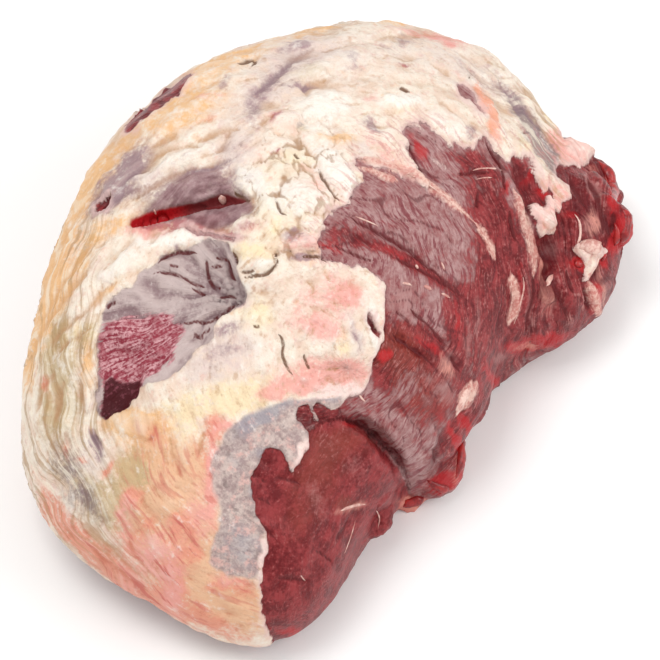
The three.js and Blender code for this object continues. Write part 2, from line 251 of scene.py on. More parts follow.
# Rounded puffs of fat and lumps of flesh: middle, half length, half width, turn and height in mm
PUFFS = [
    (250, 182, 17, 16, 0, 2.6), (267, 200, 18, 8, 80, 1.8), (306, 196, 27, 19, -10, 2.6),
    (334, 170, 28, 14, -52, 3.2), (288, 160, 22, 12, 4, 1.8), (335, 142, 17, 7, -5, 2.0),
    (327, 110, 25, 18, 15, 1.8), (281, 124, 17, 11, 10, 1.4), (246, 224, 16, 7, 22, 2.0),
    (272, 226, 10, 11, 0, 1.6), (262, 151, 13, 8, 10, 1.4), (184, 161, 33, 10, 24, 2.2),
    (145, 182, 24, 7, 40, 1.8), (222, 70, 36, 10, 23, 1.6), (309, 73, 26, 9, 12, 1.6),
    (288, 97, 19, 10, 12, 1.6), (340, 58, 30, 9, 8, 1.2), (402, 103, 20, 8, 0, 2.2),
    (404, 88, 11, 5, -25, 1.2), (180, 120, 44, 16, 22, 1.6), (128, 262, 34, 10, 34, 2.0),
    (190, 238, 36, 8, 3, 1.8), (90, 378, 36, 7, 86, 1.8), (265, 264, 13, 6, 4, 1.8),
    (352, 336, 26, 8, -66, 1.6), (368, 318, 30, 7, -78, 1.6), (345, 392, 24, 9, 8, 1.2),
    (303, 242, 28, 8, 8, 2.2), (136, 424, 26, 14, 0, 2.0), (184, 446, 15, 26, -5, 1.2),
    (378, 134, 20, 7, -8, 1.2), (448, 122, 26, 9, -32, 1.6), (492, 118, 30, 7, -62, 1.6),
    (318, 336, 26, 20, 0, 1.2), (266, 312, 20, 14, 0, 1.2), (262, 352, 18, 22, 0, 1.2),
    (578, 150, 17, 13, -30, 3.2), (546, 212, 14, 20, 30, 2.2), (588, 250, 17, 9, 8, 2.4),
    (120, 500, 20, 16, 30, 1.0), (160, 556, 34, 20, -35, 1.2),
]
LUMPS = [
    (259, 468, 10, 9, 0, 2.0), (254, 488, 10, 11, 0, 2.2), (258, 507, 10, 10, 0, 2.0),
    (264, 527, 10, 10, 0, 1.7), (268, 454, 9, 8, -30, 1.8), (304, 414, 12, 6, -55, 2.0),
    (322, 411, 9, 6, -50, 1.8), (603, 184, 28, 10, -70, 3.0), (592, 190, 20, 6, -50, 1.8),
    (620, 224, 22, 10, -78, 3.0), (564, 298, 32, 17, -72, 2.6), (602, 288, 30, 12, 76, 2.4),
    (526, 180, 20, 5, -72, 0.8), (345, 225, 16, 9, -20, 1.2), (440, 470, 26, 20, 60, 2.0),
    (548, 334, 22, 12, 10, 1.8), (384, 356, 9, 6, 20, 1.6), (390, 510, 20, 12, 65, 2.2),
    (430, 356, 20, 8, -36, 1.2), (496, 410, 30, 8, 62, 1.6),
]
# Hollows of the torn end and the cut edge, with their depth in mm last
HOLLOWS = [
    (628, 174, 18, 9, -75, 6.0), (568, 224, 14, 8, 80, 5.5), (551, 249, 12, 6, -55, 4.5),
    (525, 180, 24, 6, -70, 5.0), (578, 210, 12, 5, -15, 3.0), (545, 285, 22, 5, 80, 3.0),
    (510, 300, 40, 4, 86, 2.2), (447, 440, 26, 5, 62, 3.0), (374, 434, 40, 5, -45, 1.0),
    (96, 446, 12, 5, -70, 2.4), (116, 321, 16, 3, 0, 1.6),
]

# Pale fat and sinew that crosses the lean: half width and height in mm, then the paths
SINEWS = {
    "main_seam": (1.8, 0.9, [[(380, 169), (400, 172), (425, 181), (446, 198), (460, 209), (475, 221)]]),
    "seam_end": (1.5, 0.6, [[(470, 217), (484, 234), (491, 248), (498, 268)]]),
    "wedge_lines": (1.4, 0.6, [
        [(350, 158), (372, 161), (392, 166), (410, 175)], [(352, 166), (370, 170), (390, 178), (402, 184)],
    ]),
    "edge_ridge": (2.3, 2.0, [
        [(513, 184), (517, 197), (522, 208), (527, 225), (533, 246), (535, 268), (538, 282)],
    ]),
    "edge_bands": (1.7, 0.9, [
        [(514, 268), (513, 282), (517, 298), (513, 316), (507, 332)],
        [(585, 272), (592, 292), (595, 307), (594, 318)],
    ]),
    "wet_streak": (2.2, 1.0, [
        [(475, 376), (468, 390), (461, 405), (455, 424)], [(480, 376), (473, 390), (466, 404), (460, 416)],
    ]),
}

# How the surface is, part by part: middle, half length, half width, turn anticlockwise and strength
ZONES = {
    "puffy": [(296, 180, 60, 56, 0, 1.2), (300, 255, 50, 16, 0, 0.6)],
    "calm": [
        (190, 500, 75, 100, 0, 1.2), (180, 128, 50, 26, 22, 0.5), (240, 500, 30, 90, 0, 1.0),
        (210, 600, 70, 30, -20, 0.8), (430, 70, 70, 40, -20, 0.3),
    ],
    "striped": [
        (46, 350, 40, 150, 0, 1.2), (66, 400, 40, 70, 0, 0.9), (90, 520, 70, 24, -48, 0.5),
        (548, 200, 24, 44, 20, 0.8), (540, 130, 40, 12, -60, 1.0), (505, 95, 50, 14, -45, 0.6),
        (90, 225, 50, 26, 50, 0.4),
    ],
    "wrinkled": [(330, 315, 56, 42, 0, 1.2), (285, 285, 40, 14, 0, 0.8)],
    "frayed": [
        (336, 225, 34, 30, 0, 1.0), (362, 186, 20, 24, 0, 1.0), (400, 160, 50, 30, -30, 1.0),
        (450, 140, 50, 20, -10, 1.0), (500, 150, 30, 20, 0, 1.2), (540, 200, 24, 34, 0, 1.4),
        (560, 170, 30, 12, 0, 0.8), (340, 262, 24, 8, 0, 0.7), (590, 250, 20, 30, 0, 0.8),
    ],
    "torn": [(592, 240, 40, 100, -8, 1.1), (440, 470, 30, 14, 0, 0.4), (500, 400, 60, 12, 62, 0.5)],
}

# Patches of colour in the fat, the silverskin and the lean, in the same order
PATCHES = {
    "veil": [
        (380, 56, 80, 20, 4, 0.4), (474, 84, 54, 22, -40, 0.5), (252, 104, 46, 20, 35, 0.6),
        (236, 148, 20, 14, 20, 0.9), (297, 56, 38, 14, 14, 0.8), (226, 350, 36, 24, 10, 0.8),
        (206, 370, 26, 14, 20, 0.6), (92, 476, 34, 28, 40, 0.6), (320, 92, 60, 12, 5, 0.4),
        (354, 334, 26, 6, -68, 1.0), (294, 236, 12, 6, 0, 0.9), (440, 120, 24, 8, -30, 0.4),
        (150, 178, 30, 8, 38, 0.6), (345, 395, 26, 7, 10, 0.5), (60, 430, 30, 40, 0, 0.3),
        (356, 148, 26, 7, -25, 0.7), (205, 172, 40, 5, 12, 0.6), (128, 545, 14, 26, 0, 0.6),
    ],
    "white": [
        (334, 170, 28, 13, -52, 1.0), (250, 180, 15, 14, 0, 0.8), (326, 110, 26, 18, 15, 0.9),
        (292, 200, 26, 18, 0, 0.9), (402, 102, 19, 6, 0, 1.2), (190, 240, 38, 6, 3, 1.0),
        (124, 262, 34, 8, 34, 0.7), (372, 326, 34, 5, -80, 1.0), (266, 264, 12, 5, 0, 0.7),
        (243, 284, 7, 8, 0, 0.8), (448, 130, 26, 6, -32, 0.8), (248, 318, 20, 10, 0, 0.4),
        (255, 350, 16, 18, 0, 0.3), (352, 192, 5, 12, 0, 0.8), (280, 146, 24, 7, 0, 0.5),
    ],
    "yellow": [
        (254, 252, 18, 9, 0, 0.9), (256, 314, 18, 16, 0, 0.9), (288, 160, 18, 9, 0, 0.5),
        (274, 226, 9, 9, 0, 0.8), (402, 110, 16, 4, 0, 0.5), (220, 400, 60, 16, 15, 0.8),
        (82, 335, 16, 12, 0, 0.8), (343, 346, 8, 16, 0, 0.7), (250, 400, 30, 12, 15, 0.6),
        (528, 146, 7, 12, -60, 0.6), (546, 112, 22, 5, -55, 0.8), (185, 440, 14, 26, 0, 0.6),
        (150, 165, 24, 5, 38, 0.4), (185, 580, 30, 20, -30, 0.4), (236, 600, 20, 14, 0, 0.5),
    ],
    "warm": [
        (105, 168, 34, 10, 50, 0.9), (72, 218, 40, 11, 66, 1.1), (54, 270, 44, 9, 74, 1.1),
        (42, 320, 40, 9, 82, 1.0), (178, 112, 48, 20, 24, 0.8), (222, 64, 50, 9, 22, 0.9),
        (88, 248, 40, 8, 55, 0.6), (120, 225, 20, 9, 30, 0.6), (320, 27, 24, 5, 14, 0.9),
        (392, 22, 14, 4, 0, 0.9), (336, 140, 15, 5, -5, 1.1), (66, 294, 30, 7, 60, 0.6),
        (135, 424, 26, 12, 0, 1.2), (30, 360, 30, 5, 88, 0.8), (110, 290, 20, 4, 40, 0.6),
        (88, 366, 26, 5, 86, 0.9), (150, 455, 26, 30, 0, 0.5), (560, 128, 14, 6, -50, 0.7),
    ],
    "peach": [
        (150, 430, 12, 10, 0, 1.0), (172, 470, 30, 30, 70, 0.6), (165, 540, 40, 34, -40, 0.8),
        (200, 500, 24, 60, 0, 0.6), (222, 600, 50, 20, -20, 0.9), (190, 455, 8, 9, 0, 0.7),
        (190, 570, 60, 30, -35, 0.6), (152, 470, 24, 22, 0, 0.8), (245, 600, 14, 24, 0, 0.6),
        (140, 490, 30, 30, 0, 0.5), (300, 192, 20, 14, 0, 0.4), (70, 260, 24, 8, 60, 0.4),
    ],
    "salmon": [
        (105, 562, 72, 8, -42, 1.4), (180, 606, 60, 9, -24, 1.2), (62, 512, 30, 7, -58, 1.0),
        (156, 437, 7, 9, 0, 0.8), (133, 498, 11, 9, 0, 1.0), (181, 522, 10, 13, 0, 1.0),
        (171, 574, 13, 28, -10, 1.0), (178, 592, 10, 9, 0, 0.8), (208, 462, 6, 28, 0, 0.8),
        (218, 426, 12, 12, 0, 1.0), (46, 384, 4, 9, 0, 0.8), (82, 460, 5, 4, 0, 0.9),
        (68, 450, 5, 8, 0, 0.7), (108, 470, 9, 3, 60, 1.0), (152, 552, 10, 12, 0, 0.7),
        (236, 588, 18, 6, -20, 0.9), (150, 520, 8, 8, 0, 0.6), (212, 586, 9, 5, 0, 0.7),
        (206, 120, 14, 3, 22, 0.5), (430, 36, 26, 4, -10, 0.6), (192, 545, 8, 20, 0, 0.5),
        (196, 552, 6, 8, 0, 0.5), (120, 520, 8, 14, 0, 0.5), (132, 544, 10, 18, -20, 0.7),
    ],
    "blush": [
        (328, 294, 32, 20, 0, 0.6), (347, 296, 11, 12, 0, 0.9), (318, 328, 26, 11, -10, 0.9),
        (322, 372, 34, 12, 4, 1.3), (272, 394, 13, 7, 0, 1.0), (300, 385, 24, 7, 10, 0.7),
        (303, 242, 28, 6, 8, 0.9), (150, 231, 20, 6, 0, 1.3), (252, 228, 18, 5, 22, 0.5),
        (392, 160, 34, 8, -38, 0.7), (550, 208, 12, 16, 0, 0.8), (578, 150, 15, 10, -30, 0.8),
        (588, 250, 14, 8, 0, 0.8), (312, 190, 14, 10, 0, 0.6), (424, 36, 28, 4, -12, 0.8),
        (371, 100, 9, 4, 0, 0.6), (210, 97, 20, 4, 10, 0.5), (256, 148, 12, 3, 10, 0.5),
        (275, 116, 10, 4, 30, 0.6), (224, 424, 9, 7, 0, 0.8), (344, 370, 16, 10, 0, 0.6),
        (294, 444, 8, 14, 0, 0.7), (244, 426, 10, 5, 0, 0.7), (248, 440, 9, 5, 0, 0.6),
        (450, 42, 20, 5, -18, 0.6), (530, 190, 6, 14, -70, 0.8), (560, 144, 10, 8, 0, 0.6),
        (212, 480, 5, 26, 0, 0.8), (236, 582, 20, 6, -10, 0.8), (200, 516, 14, 30, 0, 0.6),
        (552, 214, 20, 26, 20, 1.0), (560, 150, 22, 12, -40, 0.9), (168, 560, 12, 26, 0, 0.5),
        (340, 384, 26, 8, 8, 0.6), (142, 562, 16, 34, -35, 0.8), (126, 516, 8, 26, -10, 0.8),
        (176, 594, 12, 24, 0, 0.7), (214, 470, 6, 30, 0, 0.9),
    ],
    "shell": [
        (345, 391, 26, 8, 8, 1.2), (284, 440, 20, 10, 0, 0.8), (300, 452, 9, 18, -8, 1.4),
        (262, 548, 5, 20, 0, 1.2), (256, 566, 5, 12, 0, 1.0), (318, 398, 14, 4, 10, 0.7),
        (243, 300, 9, 8, 0, 0.8), (548, 222, 10, 18, 20, 0.5), (340, 210, 10, 22, -10, 0.5),
    ],
    "pale": [
        (412, 504, 13, 7, 0, 1.4), (458, 462, 3, 22, -14, 0.7), (466, 394, 5, 26, -28, 0.3),
        (446, 366, 7, 12, 20, 0.7), (594, 222, 8, 12, 0, 0.7), (600, 290, 5, 30, 10, 0.6),
        (528, 346, 12, 5, 10, 0.8), (596, 172, 6, 16, 40, 0.5), (545, 268, 4, 20, 0, 0.7),
        (352, 508, 18, 4, 20, 0.7), (550, 300, 6, 16, -10, 0.5),
    ],
    "orange": [
        (484, 102, 16, 4, -64, 1.4), (493, 124, 16, 4, -70, 1.2), (322, 240, 8, 5, 0, 0.7),
        (318, 250, 8, 4, 0, 0.5),
    ],
    "rose": [
        (190, 226, 34, 6, 0, 1.1), (212, 232, 28, 4, -14, 1.2), (150, 228, 18, 4, 0, 0.7),
        (352, 259, 26, 5, -14, 1.0), (212, 218, 20, 5, 10, 0.6), (252, 226, 10, 2, 24, 0.9),
        (404, 66, 8, 2, -10, 0.8), (275, 118, 7, 2, 25, 0.8), (276, 152, 5, 2, 0, 0.8),
    ],
    "lilac": [
        (297, 47, 15, 5, 14, 0.9), (265, 88, 24, 7, 40, 0.7), (254, 116, 8, 13, 0, 0.5),
        (238, 148, 14, 7, 20, 0.4), (126, 172, 30, 11, 46, 1.3), (108, 200, 20, 8, 44, 1.2),
        (195, 190, 44, 12, 10, 1.2), (225, 214, 26, 9, 10, 1.2), (212, 168, 24, 4, 14, 0.7),
        (351, 59, 6, 5, 0, 0.8), (372, 127, 11, 5, -38, 0.9), (404, 40, 10, 4, -10, 0.6),
        (476, 78, 30, 6, -38, 0.4), (510, 94, 34, 6, -48, 0.6), (482, 104, 14, 5, -60, 0.7),
        (96, 446, 12, 5, -66, 1.6), (296, 236, 9, 6, 0, 1.0), (309, 258, 15, 3, -4, 1.6),
        (232, 328, 16, 5, 20, 0.8), (236, 305, 10, 3, 30, 1.2), (226, 352, 24, 9, 15, 0.5),
        (353, 334, 20, 4, -70, 0.5), (470, 132, 7, 6, -60, 0.9), (300, 86, 14, 3, 0, 0.8),
        (226, 84, 10, 5, 50, 0.6), (352, 70, 14, 3, 10, 0.4), (300, 66, 30, 5, 14, 0.3),
        (176, 250, 3, 3, 0, 0.9), (390, 48, 16, 4, 0, 0.4), (186, 162, 22, 3, 24, 0.4),
    ],
    "grey": [
        (536, 140, 30, 7, -62, 1.2), (552, 160, 16, 6, -76, 0.7), (78, 488, 30, 13, -56, 0.5),
        (98, 510, 24, 8, -50, 0.4), (303, 125, 6, 4, 0, 0.7), (522, 116, 20, 4, -60, 0.7),
        (66, 455, 14, 24, 0, 0.4), (420, 42, 8, 3, 0, 0.4),
    ],
    "olive": [
        (56, 372, 50, 12, 84, 0.8), (86, 336, 24, 8, 60, 0.7), (132, 470, 12, 16, 0, 0.8),
        (307, 75, 20, 8, 15, 0.6), (112, 506, 24, 10, -60, 0.6), (56, 345, 24, 6, 70, 0.6),
        (148, 528, 8, 14, 0, 0.5), (290, 200, 8, 12, 0, 0.3), (74, 420, 16, 40, 0, 0.4),
        (304, 128, 6, 4, 0, 0.8), (520, 140, 8, 4, -70, 0.7), (64, 466, 8, 16, 0, 0.5),
        (60, 400, 40, 14, 84, 0.5), (90, 496, 26, 12, -56, 0.6), (126, 488, 22, 34, -20, 0.8),
        (176, 410, 24, 8, 10, 0.3),
    ],
    "blue": [
        (262, 412, 24, 7, 14, 1.0), (250, 424, 20, 9, 30, 1.0), (300, 395, 30, 6, 12, 0.9),
        (240, 462, 14, 20, 0, 0.5), (256, 492, 8, 8, 0, 1.0), (240, 545, 22, 24, 0, 0.8),
        (262, 420, 6, 3, 0, 1.2), (262, 452, 8, 6, 0, 0.8), (330, 396, 16, 6, 5, 0.7),
    ],
    "naked": [
        (496, 238, 60, 15, -78, 1.1), (493, 318, 58, 18, 86, 1.0), (432, 352, 24, 12, -34, 1.2),
        (400, 346, 26, 20, 0, 0.8), (345, 236, 24, 9, -25, 0.6), (410, 262, 44, 6, -30, 0.9),
        (475, 165, 18, 9, -30, 0.6), (470, 300, 14, 12, 0, 0.8), (455, 330, 9, 28, 10, 0.8),
        (595, 235, 50, 90, 0, 1.2), (570, 300, 50, 40, 0, 1.0), (345, 425, 20, 7, -20, 0.9),
        (526, 180, 22, 7, -70, 1.0), (385, 356, 10, 30, 0, 0.8), (476, 410, 60, 12, 62, 1.0),
        (156, 98, 46, 14, 38, 1.4), (102, 204, 12, 8, 40, 1.2), (304, 412, 30, 14, 0, 0.8),
        (430, 400, 40, 30, -30, 0.5),
    ],
    # Darker red flesh, and painted shade where these lie in the hollows of the torn end and the cut edge
    "dark": [
        (471, 398, 3, 32, 18, 0.9), (568, 226, 10, 6, 80, 0.7), (553, 248, 12, 9, -55, 1.1),
        (524, 178, 20, 6, -70, 1.3), (566, 174, 14, 5, -60, 0.9), (606, 226, 20, 5, 86, 1.0),
        (556, 300, 28, 7, -76, 0.8), (545, 285, 18, 4, 80, 0.8), (575, 320, 20, 9, 30, 0.5),
        (436, 452, 22, 6, 66, 1.3), (412, 486, 8, 9, 0, 0.7), (302, 413, 8, 6, -60, 0.6),
        (320, 412, 6, 5, -60, 0.6), (268, 460, 12, 10, -50, 0.6), (350, 420, 20, 5, -20, 0.9),
        (430, 352, 16, 7, -36, 0.7), (415, 268, 46, 4, -32, 0.5), (400, 244, 40, 4, -30, 0.6),
        (494, 220, 30, 9, -78, 0.5), (487, 290, 12, 26, 0, 0.3), (508, 360, 9, 5, 0, 0.6),
        (257, 500, 6, 30, 0, 0.5), (270, 560, 8, 30, 0, 0.4), (330, 560, 16, 12, 0, 0.4),
        (180, 76, 20, 3, 24, 0.6), (466, 96, 14, 5, -45, 0.6),
    ],
    "fresh": [
        (620, 234, 7, 15, -20, 1.8), (611, 188, 5, 30, 5, 1.2), (543, 192, 4, 10, 30, 1.1),
        (530, 176, 3, 16, -25, 0.9), (459, 446, 4, 26, 28, 1.4), (445, 480, 16, 9, 10, 1.6),
        (470, 432, 4, 20, 26, 1.2), (494, 380, 4, 20, 28, 0.9), (540, 340, 24, 6, 14, 1.4),
        (527, 346, 12, 5, 8, 1.3), (412, 508, 16, 9, 0, 1.2), (574, 214, 10, 6, -10, 0.7),
        (580, 264, 9, 5, -15, 1.6), (602, 256, 4, 8, 10, 1.5), (386, 356, 6, 6, 0, 1.1),
        (332, 246, 14, 5, -15, 0.8), (430, 345, 14, 5, -36, 0.9), (594, 298, 4, 16, -10, 1.1),
        (396, 256, 24, 3, -32, 0.6), (456, 326, 4, 22, 5, 0.7), (420, 150, 14, 4, -60, 1.0),
        (507, 188, 4, 14, 0, 0.9), (380, 440, 5, 12, 0, 0.4), (350, 424, 12, 4, 0, 0.7),
        (290, 632, 14, 6, 0, 0.9), (364, 545, 6, 24, 20, 0.4), (520, 280, 3, 30, 0, 0.5),
    ],
    "brown": [
        (425, 396, 34, 34, 0, 0.7), (396, 346, 24, 22, 0, 1.0), (318, 470, 30, 26, 0, 0.8),
        (345, 440, 30, 14, 0, 0.7), (300, 520, 24, 24, 0, 0.6), (346, 503, 8, 5, 0, 1.0),
    ],
    # Painted sheen and glints on the wet lean
    "sheen": [
        (355, 466, 12, 12, -30, 0.4), (330, 440, 16, 9, 0, 0.3), (430, 380, 22, 12, -30, 0.4),
        (448, 362, 8, 10, 0, 1.0), (447, 394, 7, 8, 0, 0.9), (590, 186, 14, 4, -52, 0.9),
        (594, 222, 9, 12, 0, 1.0), (604, 290, 8, 26, 10, 0.7), (500, 358, 8, 4, 0, 0.8),
        (478, 320, 3, 26, 0, 0.7), (468, 340, 3, 24, 0, 0.7), (530, 300, 4, 34, 5, 0.5),
        (404, 300, 16, 16, 0, 0.8), (548, 306, 6, 22, 0, 0.4), (302, 415, 5, 4, 0, 0.4),
        (318, 500, 10, 24, 20, 0.4), (440, 158, 8, 12, 0, 0.5), (556, 248, 6, 8, 0, 0.7),
    ],
}

# How far the layout runs on for each mm that a hidden vertex lies below the outline seen
ROUND_THE_BACK = 1.4
OUTLINE_DIRECTIONS = 72

# The middles that the grain of each part runs round, in pixels
FAT_POLE = (350, 360)
STROKE_POLE = (269, 300)
SEAM_POLE = (275, 476)
FACE_POLE = (560, 585)
WRINKLE_POLE = (250, 296)
PLEAT_POLE = (240, 2500)

# The marks that run round a pole: the pole, how far apart and how long they are in mm, and a seed
MARKS = {
    "folds": (FAT_POLE, 8, 24, 6), "small_folds": (FAT_POLE, 4, 14, 7), "stripes": (FAT_POLE, 3.2, 30, 12),
    "wrinkles": (WRINKLE_POLE, 3.4, 11, 23), "pleats": (PLEAT_POLE, 4, 18, 25),
    "frayed_edge": (STROKE_POLE, 3.2, 14, 26), "strokes": (STROKE_POLE, 3.4, 15, 8),
    "face_strokes": (FACE_POLE, 3.4, 13, 8), "seam_bundles": (SEAM_POLE, 12, 60, 19),
    "upright_bundles": (STROKE_POLE, 9, 60, 20), "face_bundles": (FACE_POLE, 16, 40, 21),
    "fan": (WRINKLE_POLE, 24, 11, 9), "small_fan": (WRINKLE_POLE, 10, 5, 28),
}
# How high each kind of relief stands, in mm
HEIGHTS = {
    "pillows": 2.2, "small_pillows": 1.0, "folds": 1.3, "stripes": 1.5, "wrinkles": 0.9, "crumple": 0.55,
    "pleats": 0.8, "strokes": 0.4, "bundles": 2.4, "face_bundles": 0.9, "crags": 2.4, "small_crags": 2.2,
    "swell": 0.4, "fan": 2.2, "small_fan": 0.9,
}
# The middle of a ridged noise and of the pillows, taken off so that they rise and sink as much
RIDGE_MIDDLE = 0.3
PILLOW_MIDDLE = 0.7
# The sizes of the pillows, of the crumpled finish and of the crags, in mm
PILLOW_SIZE = 21
SMALL_PILLOW_SIZE = 10
CRUMPLE_SIZE = 9
CRAG_SIZE = 13
SMALL_CRAG_SIZE = 6
# How deep the gash and the window are, and how the fat steps up over the lean with a rounded rim, in mm
GASH_DEPTH = 7.0
WINDOW_DEPTH = 1.6
FAT_STEP = 0.8
FAT_RIM = 0.9
RIM_WIDTH = 4
# Up to what height lean is seen round the underside, and how much that line waves, in mm
LEAN_UNDER = 16
LEAN_UNDER_WAVE = 8
# How deep inside the lean is told apart, and between what heights the relief fades in, in mm
DEEPEST_KEPT = 12
FLAT_UP_TO = 0.5
FULL_RELIEF_FROM = 9
# How many of the outermost vertices give the rim's depth in each direction
RIM_VERTICES = 20
# How far the noise of each seed is moved from that of the one before, in the mesh and in the material
MESH_SEED_STEP = np.array([17.3, 5.1, 29.7])
COLOUR_SEED_STEP = (7.1, 3.7, 5.3)
# What brings the noise to about -1 to 1, and how wide the creases between pillows are, as a share
NOISE_GAIN = 1.6
PILLOW_CREASE = 0.45
# How fast a patch fades away from its middle
PATCH_FALL = 0.7
# How far from its pole a mark is as long as its name says, in mm
POLE_REACH = 90

# The mesh is twice as fine where it faces the view, or all but does, as it is round the back and beneath
COARSE_SPACING = 3.0
TURNED_AWAY = -0.03
SMOOTHING_ROUNDS = 7
# How far around a line its distance is worked out, in pixels of the layout
NEAR_A_LINE = 30


def soft(value, low, high):
    """Nought below low, one above high and a smooth rise between them."""
    share = np.clip((value - low) / (high - low), 0, 1)
    return share * share * (3 - 2 * share)


def in_lumps(points, size, seed):
    """The points counted in lumps of that size, in a part of the noise that is the seed's own."""
    return (points / size + seed * MESH_SEED_STEP).tolist()


def noise_at(points, size, seed=0.0):
    """Smooth noise of about -1 to 1 at each point, with lumps of that size."""
    return np.array([noise.noise(place) for place in in_lumps(points, size, seed)]) * NOISE_GAIN


def pillows_at(points, size, seed=0.0):
    """Rounded pillows of about that size, nought in the creases and one on top, and a tint for each."""
    found = [noise.voronoi(place) for place in in_lumps(points, size, seed)]
    gap = np.array([reach[1] - reach[0] for reach, _ in found])
    tint = np.array([noise.cell(middles[0] * 9) for _, middles in found])
    return np.sqrt(np.clip(gap / PILLOW_CREASE, 0, 1)), tint


def rounded(path, closed=True, rounds=1):
    """The path with each corner cut, which turns it into a curve."""
    path = np.array(path, float)
    for _ in range(rounds):
        if closed:
            before, after = path, np.roll(path, -1, 0)
        else:
            before, after = path[:-1], path[1:]
        path = np.stack([0.75 * before + 0.25 * after, 0.25 * before + 0.75 * after], 1).reshape(-1, 2)
    return path


def gap_to(points, path, closed):
    """Each point's distance to a path in mm, how far along the path that is, and whether it is inside."""
    nearest = np.full(len(points), 99.0)
    along = np.zeros(len(points))
    inside = np.zeros(len(points), bool)
    around = (points > path.min(0) - NEAR_A_LINE) & (points < path.max(0) + NEAR_A_LINE)
    near = np.flatnonzero(around.all(1))
    x, y = points[near].T
    best = np.full(len(near), 1e9)
    best_along = np.zeros(len(near))
    crossed = np.zeros(len(near), bool)
    ends = np.roll(path, -1, 0) if closed else path[1:]
    for number, ((x0, y0), (x1, y1)) in enumerate(zip(path, ends)):
        run = max((x1 - x0) ** 2 + (y1 - y0) ** 2, 1e-9)
        share = np.clip(((x - x0) * (x1 - x0) + (y - y0) * (y1 - y0)) / run, 0, 1)
        gap = (x - x0 - share * (x1 - x0)) ** 2 + (y - y0 - share * (y1 - y0)) ** 2
        best_along = np.where(gap < best, (number + share) / len(ends), best_along)
        best = np.minimum(gap, best)
        if y0 != y1:
            crossed ^= ((y0 > y) != (y1 > y)) & (x < x0 + (x1 - x0) * (y - y0) / (y1 - y0))
    nearest[near] = np.sqrt(best) * MM_PER_PIXEL
    along[near] = best_along
    inside[near] = crossed
    return nearest, along, inside


def depth_inside(plan, outline):
    """How deep each vertex lies inside an outline in mm, and less than nought outside."""
    gap, _, inside = gap_to(plan, rounded(outline), True)
    return np.clip(np.where(inside, gap, -gap), -12, 12)


def on_lines(plan, groups):
    """How near each vertex is to the middle of a line, where one is on it, and the height there in mm."""
    nearness = np.zeros(len(plan))
    height = np.zeros(len(plan))
    for half_width, rise, paths in groups.values():
        for path in paths:
            gap, along, _ = gap_to(plan, rounded(path, closed=False, rounds=2), False)
            taper = soft(along, -0.1, 0.25) * soft(1 - along, -0.1, 0.25)
            away = gap / (half_width * np.maximum(taper, 0.05))
            nearness = np.maximum(nearness, np.clip(2 - away, 0, 2))
            height = np.maximum(height, rise * taper * np.exp(-(away * away)))
    return nearness, height


def from_the_middle(plan, x, y, half_length, half_width, turn):
    """How far out each vertex is from the middle of an oval, with one at its edge."""
    angle = -math.radians(turn)
    away = plan - (x, y)
    length = (away[:, 0] * math.cos(angle) + away[:, 1] * math.sin(angle)) / half_length
    width = (away[:, 1] * math.cos(angle) - away[:, 0] * math.sin(angle)) / half_width
    return np.hypot(length, width)


def in_patches(plan, patches):
    """How much each vertex is in the patches of one kind: each fades out from its middle."""
    total = np.zeros(len(plan))
    for *oval, strength in patches:
        total += strength * np.exp(-PATCH_FALL * from_the_middle(plan, *oval) ** 2)
    return total


def on_mounds(plan, mounds):
    """The height of the highest of these round-topped mounds at each vertex, in mm."""
    height = np.zeros(len(plan))
    for *oval, rise in mounds:
        out = from_the_middle(plan, *oval)
        height = np.maximum(height, rise * np.sqrt(np.clip(1 - out * out, 0, 1)))
    return height


def about(plan, pole, across, along):
    """Places for a pattern of long marks that run round a pole: their spacing and their length in mm."""
    away = (plan - np.array(pole, float)) * MM_PER_PIXEL
    radius = np.hypot(*away.T)
    angle = np.arctan2(away[:, 1], away[:, 0])
    reach = POLE_REACH / along
    return np.stack([radius / across, reach * np.cos(angle), reach * np.sin(angle)], 1)


def evaluated(rough, **modifiers):
    """A new mesh from an object with these modifiers on it."""
    for kind, settings in modifiers.items():
        added = rough.modifiers.new(kind, kind)
        for name, value in settings.items():
            setattr(added, name, value)
    return bpy.data.meshes.new_from_object(rough.evaluated_get(bpy.context.evaluated_depsgraph_get()))


def shown(name, mesh):
    made = bpy.data.objects.new(name, mesh)
    bpy.context.collection.objects.link(made)
    return made


def fine_copy():
    """A copy of the solid as one even closed mesh, smoothed free of its facets and finer towards the view."""
    shape = bmesh.new()
    shape.from_mesh(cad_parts["topside"].data)
    bmesh.ops.remove_doubles(shape, verts=shape.verts, dist=1e-5)
    mesh = bpy.data.meshes.new("beef_topside")
    shape.to_mesh(mesh)
    rough = shown("rough", mesh)
    even = evaluated(
        rough,
        SUBSURF={"levels": 2, "render_levels": 2},
        REMESH={"mode": "VOXEL", "voxel_size": COARSE_SPACING * METRES},
    )
    bpy.data.objects.remove(rough)
    shape.clear()
    shape.from_mesh(even)
    eye = Vector((VIEW_MIDDLE + BACK * EYE_DISTANCE) * METRES)
    towards_view = [face for face in shape.faces
                    if face.normal.dot((eye - face.calc_center_median()).normalized()) > TURNED_AWAY]
    edges = {edge for face in towards_view for edge in face.edges}
    bmesh.ops.subdivide_edges(shape, edges=list(edges), cuts=1, use_grid_fill=True)
    shape.to_mesh(even)
    shape.free()
    rough = shown("rough", even)
    done = evaluated(rough, SMOOTH={"iterations": SMOOTHING_ROUNDS, "factor": 0.5})
    bpy.data.objects.remove(rough)
    return done


def read(what, field):
    values = np.empty(len(what) * 3, np.float32)
    what.foreach_get(field, values)
    return values.reshape(-1, 3).astype(float)


